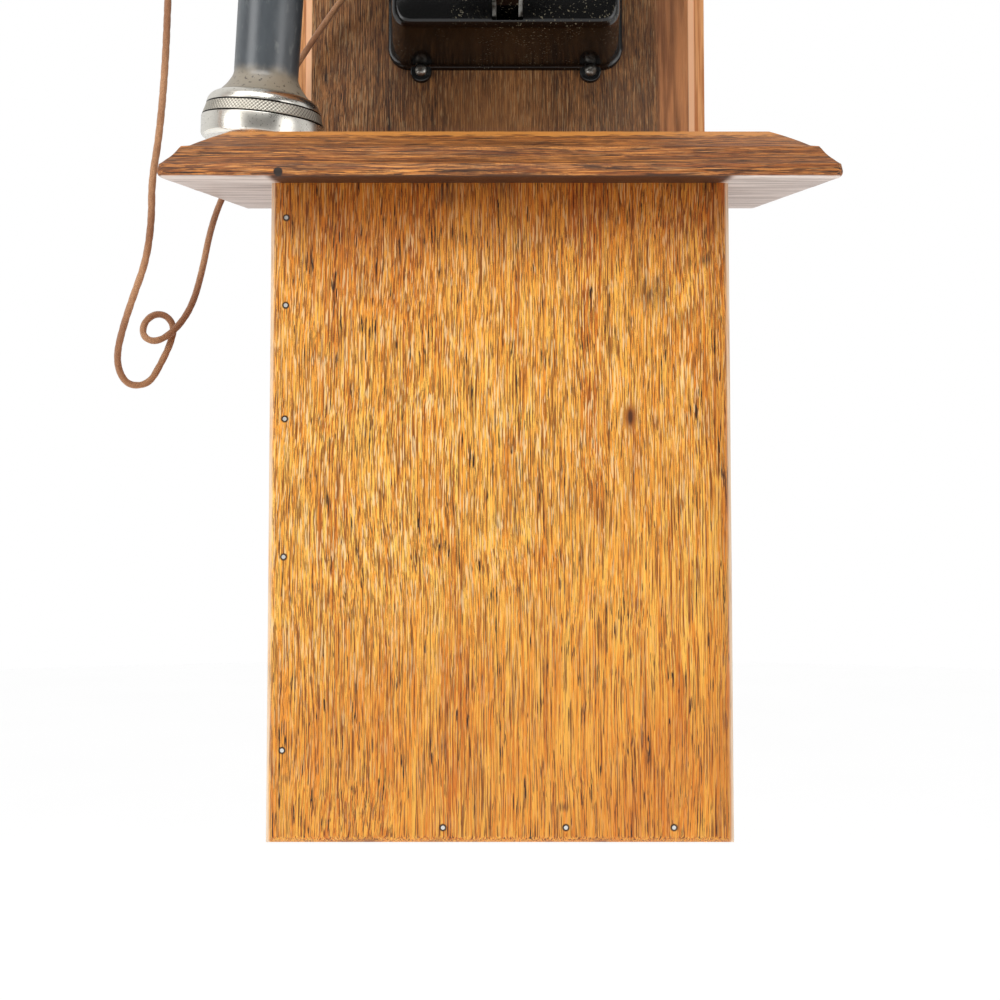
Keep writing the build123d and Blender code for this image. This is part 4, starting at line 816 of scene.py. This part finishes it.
def cap_metal():
    """Soft bright nickel, grey with handling in the knurl and dark in the two parting lines."""
    g = Graph("receiver nickel")
    rise = g.along(RECEIVER_PLACE.translation, RECEIVER_AXIS)
    patch = g.noise(g.stretched((26, 26, 26), (2.0, 5.0, 1.0)), 1.0, 4.0, 0.6)
    speck = g.noise(g.stretched((800, 800, 800)), 1.0, 2.0)
    tone = g.mix(g.between(patch, 0.45, 0.75, 0.0, 0.5), rgb(244, 240, 230), rgb(190, 180, 160))
    tone = g.mix(g.between(speck, 0.62, 0.72, 0.0, 0.6), tone, rgb(120, 108, 88))
    lower = g.between(rise, (SKIRT_TOP + 0.2) * MM, (SKIRT_TOP + 0.5) * MM)
    upper = g.between(rise, (CAP_TOP - 0.6) * MM, (CAP_TOP - 0.3) * MM)
    band = g.maths("SUBTRACT", lower, upper)
    tone = g.mix(g.product(band, 0.4), tone, rgb(176, 166, 144))
    sunk = g.tree.nodes.new("ShaderNodeAttribute")
    sunk.attribute_name = "hollow"
    dirt = g.between(sunk.outputs["Fac"], KNURL_DEPTH * 0.7, KNURL_DEPTH * 1.5)
    tone = g.mix(g.product(dirt, 0.6), tone, rgb(64, 56, 44))
    for height in (SKIRT_TOP, CAP_TOP):
        line = g.maths("ABSOLUTE", g.maths("SUBTRACT", rise, height * MM))
        tone = g.mix(g.between(line, 0.55 * MM, 0.25 * MM), tone, rgb(38, 33, 28))
    g.set(Base_Color=tone, Metallic=1.0)
    rough = g.between(patch, 0.3, 0.8, 0.24, 0.36)
    g.set(Roughness=g.maths("ADD", rough, g.product(band, 0.1)))
    return g.set(Normal=g.bump(speck, 0.08, 0.0001))


receiver_nickel = cap_metal()
cap = add_mesh("knurled_receiver_cap", turned(cap_profile(), CAP_SIDES, knurl), receiver_nickel)
cap.data.set_sharp_from_angle(angle=math.radians(40))
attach(cap, "receiver")
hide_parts("receiver_cap")

RING_LOW, RING_HIGH, RING_R, RING_WIDTH = CAP_TOP + 0.05, CAP_TOP + 6.75, CAP_R - 2.3, 9
shoulder_from = (RING_R, RING_LOW + 0.35)
shoulder_to = (RING_R - 5.6, RING_HIGH - 0.1)
ring_profile = [(RING_R - RING_WIDTH, RING_LOW), (RING_R - 0.4, RING_LOW), shoulder_from]
ring_profile += arc_through(shoulder_from, (RING_R - 1.6, RING_LOW + 4.2), shoulder_to, 12)
ring_profile += [(RING_R - 5.9, RING_HIGH), (RING_R - RING_WIDTH, RING_HIGH)]
ring = add_mesh("turned_receiver_ring", turned(ring_profile, RING_SIDES), receiver_nickel)
ring.data.set_sharp_from_angle(angle=math.radians(40))
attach(ring, "receiver")
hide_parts("receiver_ring")
print("knurled cap faces", len(cap.data.polygons), "and ring faces", len(ring.data.polygons))

# %% [markdown]
# # Black japan, hard rubber, enamel and windings
# The case is pressed iron under baked black varnish: nearly black, very glossy, chipped to speckles
# at its corners. Hard rubber starts black and turns blue-grey in daylight, with a dusty bloom at the
# receiver's flare. The magnets have red enamel, and the coils green silk over fine wire.

# %% Painted and moulded finishes
def japan_black():
    """Baked black varnish, chipped to speckles where it is worn."""
    g = Graph("black japan")
    orange_peel = g.noise(g.stretched((300, 300, 300)), 1.0, 2.0)
    chips = g.noise(g.stretched((720, 720, 720), (3, 1, 2)), 1.0, 3.0, 0.6)
    worn = g.noise(g.stretched((26, 26, 26), (1, 5, 3)), 1.0, 2.0)
    mask = g.product(g.between(chips, 0.62, 0.68), g.between(worn, 0.42, 0.66))
    g.set(Base_Color=g.mix(mask, rgb(8, 8, 8), rgb(128, 122, 100)))
    g.set(Roughness=g.between(mask, 0.0, 1.0, 0.2, 0.6))
    g.set(Specular_IOR_Level=0.38, Coat_Weight=0.3, Coat_Roughness=0.06)
    return g.set(Normal=g.bump(g.maths("SUBTRACT", orange_peel, mask), 0.14, 0.0003))


def hard_rubber():
    """Blue-grey hard rubber, dusty and chipped at the receiver's flare."""
    g = Graph("hard rubber")
    bloom = g.noise(g.stretched((45, 45, 14)), 1.0, 4.0, 0.6)
    grime = g.noise(g.stretched((300, 300, 120)), 1.0, 3.0)
    tone = g.mix(g.between(bloom, 0.3, 0.7), rgb(56, 62, 67), rgb(84, 91, 96))
    tone = g.mix(g.between(grime, 0.55, 0.75, 0.0, 0.5), tone, rgb(120, 124, 122))
    rise = g.along(RECEIVER_PLACE.translation, RECEIVER_AXIS)
    drifting = g.product(g.noise(g.stretched((70, 70, 70)), 1.0, 4.0, 0.6), 12 * MM)
    dust_mask = g.between(g.maths("ADD", rise, drifting), 46 * MM, 37 * MM, 0.0, 0.85)
    tone = g.mix(dust_mask, tone, rgb(160, 148, 128))
    chips = g.noise(g.stretched((420, 420, 420), (7.0, 1.0, 3.0)), 1.0, 3.0, 0.6)
    chip_mask = g.product(g.between(rise, 36 * MM, 30 * MM), g.between(chips, 0.60, 0.66))
    tone = g.mix(chip_mask, tone, rgb(58, 46, 38))
    g.set(Base_Color=tone, Roughness=g.between(bloom, 0.3, 0.7, 0.3, 0.4), Specular_IOR_Level=1.0)
    return g.set(Normal=g.bump(g.maths("SUBTRACT", grime, chip_mask), 0.12, 0.0002))


def enamel(name, tone, dark):
    """Brushed paint, a little darker and duller in patches."""
    g = Graph(name)
    patch = g.noise(g.stretched((70, 70, 70)), 1.0, 4.0)
    g.set(Base_Color=g.mix(g.between(patch, 0.5, 0.7), tone, dark))
    g.set(Roughness=g.between(patch, 0.3, 0.7, 0.25, 0.5))
    return g.set(Normal=g.bump(patch, 0.1, 0.0003))


def winding(name, tone, groove):
    """Silk-covered wire, its turns seen as fine grooves."""
    g = Graph(name)
    turns = g.tree.nodes.new("ShaderNodeTexWave")
    turns.inputs["Scale"].default_value = 420.0
    turns.bands_direction = "DIAGONAL"
    g.tree.links.new(g.place, turns.inputs["Vector"])
    g.set(Base_Color=g.mix(turns.outputs["Fac"], groove, tone), Roughness=0.7)
    return g.set(Normal=g.bump(turns.outputs["Fac"], 0.5, 0.0004))


japan = japan_black()
rubber = hard_rubber()
red_enamel = enamel("red enamel", rgb(150, 34, 26), rgb(96, 24, 20))
cell_paper = enamel("cell wrapper", rgb(150, 128, 96), rgb(112, 84, 56))
ebonised = enamel("ebonised wood", rgb(30, 27, 25), rgb(52, 44, 38))
green_silk = winding("green silk wire", rgb(74, 104, 62), rgb(36, 52, 32))
dress(japan, "transmitter_arm", "transmitter_cup")
dress(rubber, "receiver_shell", "mouthpiece", "case_grommet")
dress(red_enamel, "magnets", "receiver_magnet")
dress(cell_paper, "dry_cells")
dress(ebonised, "crank_handle")
dress(green_silk, "ringer_coils", "armature_winding", "induction_winding")
paints = (japan, rubber, red_enamel, cell_paper, ebonised, green_silk)
print("other finishes:", ", ".join(paint.name for paint in paints))

# %% [markdown]
# # Transmitter case
# The cover is one deep pressing, so it has draft: it is widest at the wall, where it turns out into a
# thin lip, and its front edge is a large soft radius. A bevelled box would have one radius and no
# draft. So rounded rectangles are lofted from the wall to the front, and others back down the
# inside, then ears are joined on, and the arm's slot and the screw holes are cut out.

# %% Pressed case
CASE_X, CASE_LOW, CASE_HEIGHT = 3.3, 431.7, 94.0
CASE_DEPTH, CASE_INNER_DEPTH = 58.0, 55.0
OUTSIDE_LOOPS = (   # half width, corner radius, distance from the board, inset of the top and bottom
    (71.9, 13.0, 0.0, 0.0), (71.9, 13.0, 1.9, 0.0), (71.4, 12.5, 2.7, 0.5), (70.4, 11.5, 3.0, 1.2),
    (69.6, 11.2, 3.6, 1.8), (69.0, 11.2, 5.2, 2.1), (68.7, 11.2, 8.0, 2.2), (66.9, 11.0, 30.0, 2.4),
    (65.4, 11.0, 52.4, 2.6), (65.0, 10.8, 54.4, 2.9), (64.2, 10.4, 56.2, 3.7), (63.1, 9.6, 57.4, 4.9),
    (61.6, 8.6, CASE_DEPTH, 6.6), (45.0, 6.0, CASE_DEPTH, 22.0),
)
INSIDE_LOOPS = (
    (45.0, 6.0, CASE_INNER_DEPTH, 22.0), (60.4, 7.0, CASE_INNER_DEPTH, 7.8), (61.8, 7.5, 53.4, 6.2),
    (62.6, 8.0, 48.0, 5.4), (66.0, 8.0, 0.0, 5.0),
)
CORNER_POINTS = 12
EAR_PLACES = [(x, height) for x in (-48.4, 55.4) for height in (430.4, 527.0)]
EAR_R, EAR_THICK, SCREW_HOLE_R = 6.6, 3.0, 2.0
SLOT_LEFT, SLOT_RIGHT, SLOT_LOW, SLOT_HIGH, SLOT_DEEP = -4.6, 13.1, 437.2, 484.0, 16.0
PEG_SIDES = 48


def case_loop(half, corner, out, inset):
    """One rounded rectangle, a quarter circle at each corner."""
    points = []
    low, high = CASE_LOW + inset, CASE_LOW + CASE_HEIGHT - inset
    for quarter, (x, z) in enumerate(((half - corner, high - corner), (corner - half, high - corner),
                                      (corner - half, low + corner), (half - corner, low + corner))):
        for step in range(CORNER_POINTS + 1):
            angle = math.pi / 2 * (quarter + step / CORNER_POINTS)
            points.append(((CASE_X + x + corner * math.cos(angle)) * MM, FACE_Y - out * MM,
                           up(z + corner * math.sin(angle))))
    return points


def skin(bm, loops):
    """Faces through rounded rectangles, open at both ends; gives back the first and last row."""
    rows = [[bm.verts.new(point) for point in case_loop(*loop)] for loop in loops]
    for lower, upper in zip(rows, rows[1:]):
        bridge(bm, lower, upper)
    return rows[0], rows[-1]


def case_mesh():
    """Outside and inside skins, each closed at the front, joined along the wall."""
    bm = bmesh.new()
    wall_outside, front_outside = skin(bm, OUTSIDE_LOOPS)
    front_inside, wall_inside = skin(bm, INSIDE_LOOPS)
    bm.faces.new(front_outside)
    bm.faces.new(front_inside)
    bridge(bm, wall_inside, wall_outside)
    bmesh.ops.triangulate(bm, faces=[face for face in bm.faces if len(face.verts) > 4])
    bmesh.ops.recalc_face_normals(bm, faces=bm.faces)
    return bm


def cut(piece, kind, *solids):
    """Joins solids to a piece or takes them away, and keeps the result as its mesh."""
    for index, solid in enumerate(solids):
        tool = add_mesh("tool_%d" % index, solid, piece.data.materials[0])
        step = piece.modifiers.new("step", "BOOLEAN")
        step.operation, step.solver, step.object = kind, "EXACT", tool
        bpy.context.view_layer.update()
        worked = piece.evaluated_get(bpy.context.evaluated_depsgraph_get())
        done = bpy.data.meshes.new_from_object(worked)
        piece.modifiers.remove(step)
        piece.data = done
        bpy.data.objects.remove(tool)


def slab(x0, x1, y0, y1, h0, h1):
    """Box between two places along each axis."""
    bm = bmesh.new()
    bmesh.ops.create_cube(bm, size=1.0)
    for vert in bm.verts:
        along_x, along_y, along_z = (share + 0.5 for share in vert.co)
        vert.co = ((x0 + along_x * (x1 - x0)) * MM, (y0 + along_y * (y1 - y0)) * MM,
                   up(h0 + along_z * (h1 - h0)))
    return bm


def peg(x, height, radius, y0, y1, rim=0.0):
    """Round bar along the depth; a rim makes its front edge soft."""
    section = [(radius, y1), (radius, y0 + rim)]
    if rim > 0.0:
        section += [(radius - rim * 0.3, y0 + rim * 0.3), (radius - rim, y0)]
    bm = bmesh.new()
    rings = []
    for reach, y in section:
        ring = []
        for step in range(PEG_SIDES):
            angle = math.tau * step / PEG_SIDES
            across, rise = x + reach * math.cos(angle), height + reach * math.sin(angle)
            ring.append(bm.verts.new((across * MM, y * MM, up(rise))))
        rings.append(ring)
    for near, far in zip(rings, rings[1:]):
        bridge(bm, near, far)
    bm.faces.new(rings[0])
    bm.faces.new(list(reversed(rings[-1])))
    bmesh.ops.recalc_face_normals(bm, faces=bm.faces)
    return bm


board_y = FACE_Y / MM
ears = [peg(x, height, EAR_R, board_y - EAR_THICK, board_y - 0.02, 1.0) for x, height in EAR_PLACES]
holes = [peg(x, height, SCREW_HOLE_R, board_y - 9.0, board_y + 1.0) for x, height in EAR_PLACES]
slot_front = board_y - CASE_DEPTH - 1.0
slot = slab(SLOT_LEFT, SLOT_RIGHT, slot_front, slot_front + SLOT_DEEP + 1.0, SLOT_LOW, SLOT_HIGH)
case = add_mesh("pressed_transmitter_case", case_mesh(), japan)
cut(case, "UNION", *ears)
cut(case, "DIFFERENCE", *holes, slot)
case.data.set_sharp_from_angle(angle=math.radians(35))
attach(case, "root")
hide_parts("transmitter_case")
print("case faces", len(case.data.polygons))

# %% [markdown]
# # Floor
# The telephone hangs on a wall that isn't shown, so the floor lies well below it. A small floor
# would show an edge behind the telephone, so this is a very wide disc. It glows a little, or the
# shade of the studio's dark side would turn it grey.

# %% Floor
FLOOR_DROP, FLOOR_R = 1.15, 14.0
floor_mesh = bmesh.new()
bmesh.ops.create_circle(floor_mesh, cap_ends=True, segments=96, radius=FLOOR_R)
pale = Graph("pale floor")
cloudy = pale.noise(pale.stretched((0.8, 0.8, 0.8)), 1.0, 2.0)
pale.set(Base_Color=pale.mix(cloudy, rgb(246, 246, 246), rgb(252, 252, 252)), Roughness=0.9)
floor_paint = pale.set(Emission_Color=(1.0, 1.0, 1.0, 1.0), Emission_Strength=0.5)
floor = add_mesh("floor", floor_mesh, floor_paint)
floor.location.z = FLOOR_EDGE - FLOOR_DROP
print("floor", FLOOR_DROP, "m below the battery box")

# %% [markdown]
# # The studio round it
# Black japan and nickel show what is in front of them, and a room that was white all round would
# turn them grey. So the world's light depends on direction: dim on the viewer's side and bright
# behind the telephone. What the lens sees of it directly stays white.

# %% World
world = bpy.data.worlds.new("studio")
bpy.context.scene.world = world
world.use_nodes = True
sky = world.node_tree
sky.nodes.clear()
direction = sky.nodes.new("ShaderNodeTexCoord")
parts = sky.nodes.new("ShaderNodeSeparateXYZ")
sky.links.new(direction.outputs["Generated"], parts.inputs[0])
shade = sky.nodes.new("ShaderNodeMapRange")
shade.interpolation_type = "SMOOTHSTEP"
for name, number in (("From Min", -0.8), ("From Max", 0.3), ("To Min", 0.10), ("To Max", 0.72)):
    shade.inputs[name].default_value = number
sky.links.new(parts.outputs["Y"], shade.inputs["Value"])
seen = sky.nodes.new("ShaderNodeLightPath")
lit = sky.nodes.new("ShaderNodeMath")
lit.operation = "MAXIMUM"
sky.links.new(shade.outputs[0], lit.inputs[0])
sky.links.new(seen.outputs["Is Camera Ray"], lit.inputs[1])
backdrop = sky.nodes.new("ShaderNodeBackground")
backdrop.inputs["Color"].default_value = (1.0, 1.0, 1.0, 1.0)
sky.links.new(lit.outputs[0], backdrop.inputs["Strength"])
sky_out = sky.nodes.new("ShaderNodeOutputWorld")
sky.links.new(backdrop.outputs[0], sky_out.inputs[0])
print("world", world.name, "made of", len(sky.nodes), "nodes")

# %% [markdown]
# # Lights
# Two tall soft lights draw the highlights down the receiver and the box's edges. They could be
# equal, but the left one is stronger, so that round pieces have a bright and a dark side. A third,
# above the front, lights the shelf's moulding.

# %% Lights
def soft_light(name, place, aim, size, power):
    """Rectangular lamp that faces a point."""
    data = bpy.data.lights.new(name, "AREA")
    data.shape = "RECTANGLE"
    data.size, data.size_y = size
    data.energy = power
    lamp = bpy.data.objects.new(name, data)
    lamp.location = place
    lamp.rotation_euler = (Vector(aim) - Vector(place)).to_track_quat("-Z", "Y").to_euler()
    bpy.context.scene.collection.objects.link(lamp)
    print(name, power, "W")


AIM = (0.0, -0.1, up(230))
soft_light("left_softbox", (-1.5, -1.5, up(420)), AIM, (1.0, 1.7), 15.0)
soft_light("right_softbox", (1.6, -1.3, up(320)), AIM, (0.9, 1.6), 9.0)
soft_light("top_front", (-0.3, -1.2, up(1500)), AIM, (1.6, 0.8), 14.0)
bpy.context.scene.view_settings.view_transform = "Standard"
bpy.context.scene.view_settings.look = "None"
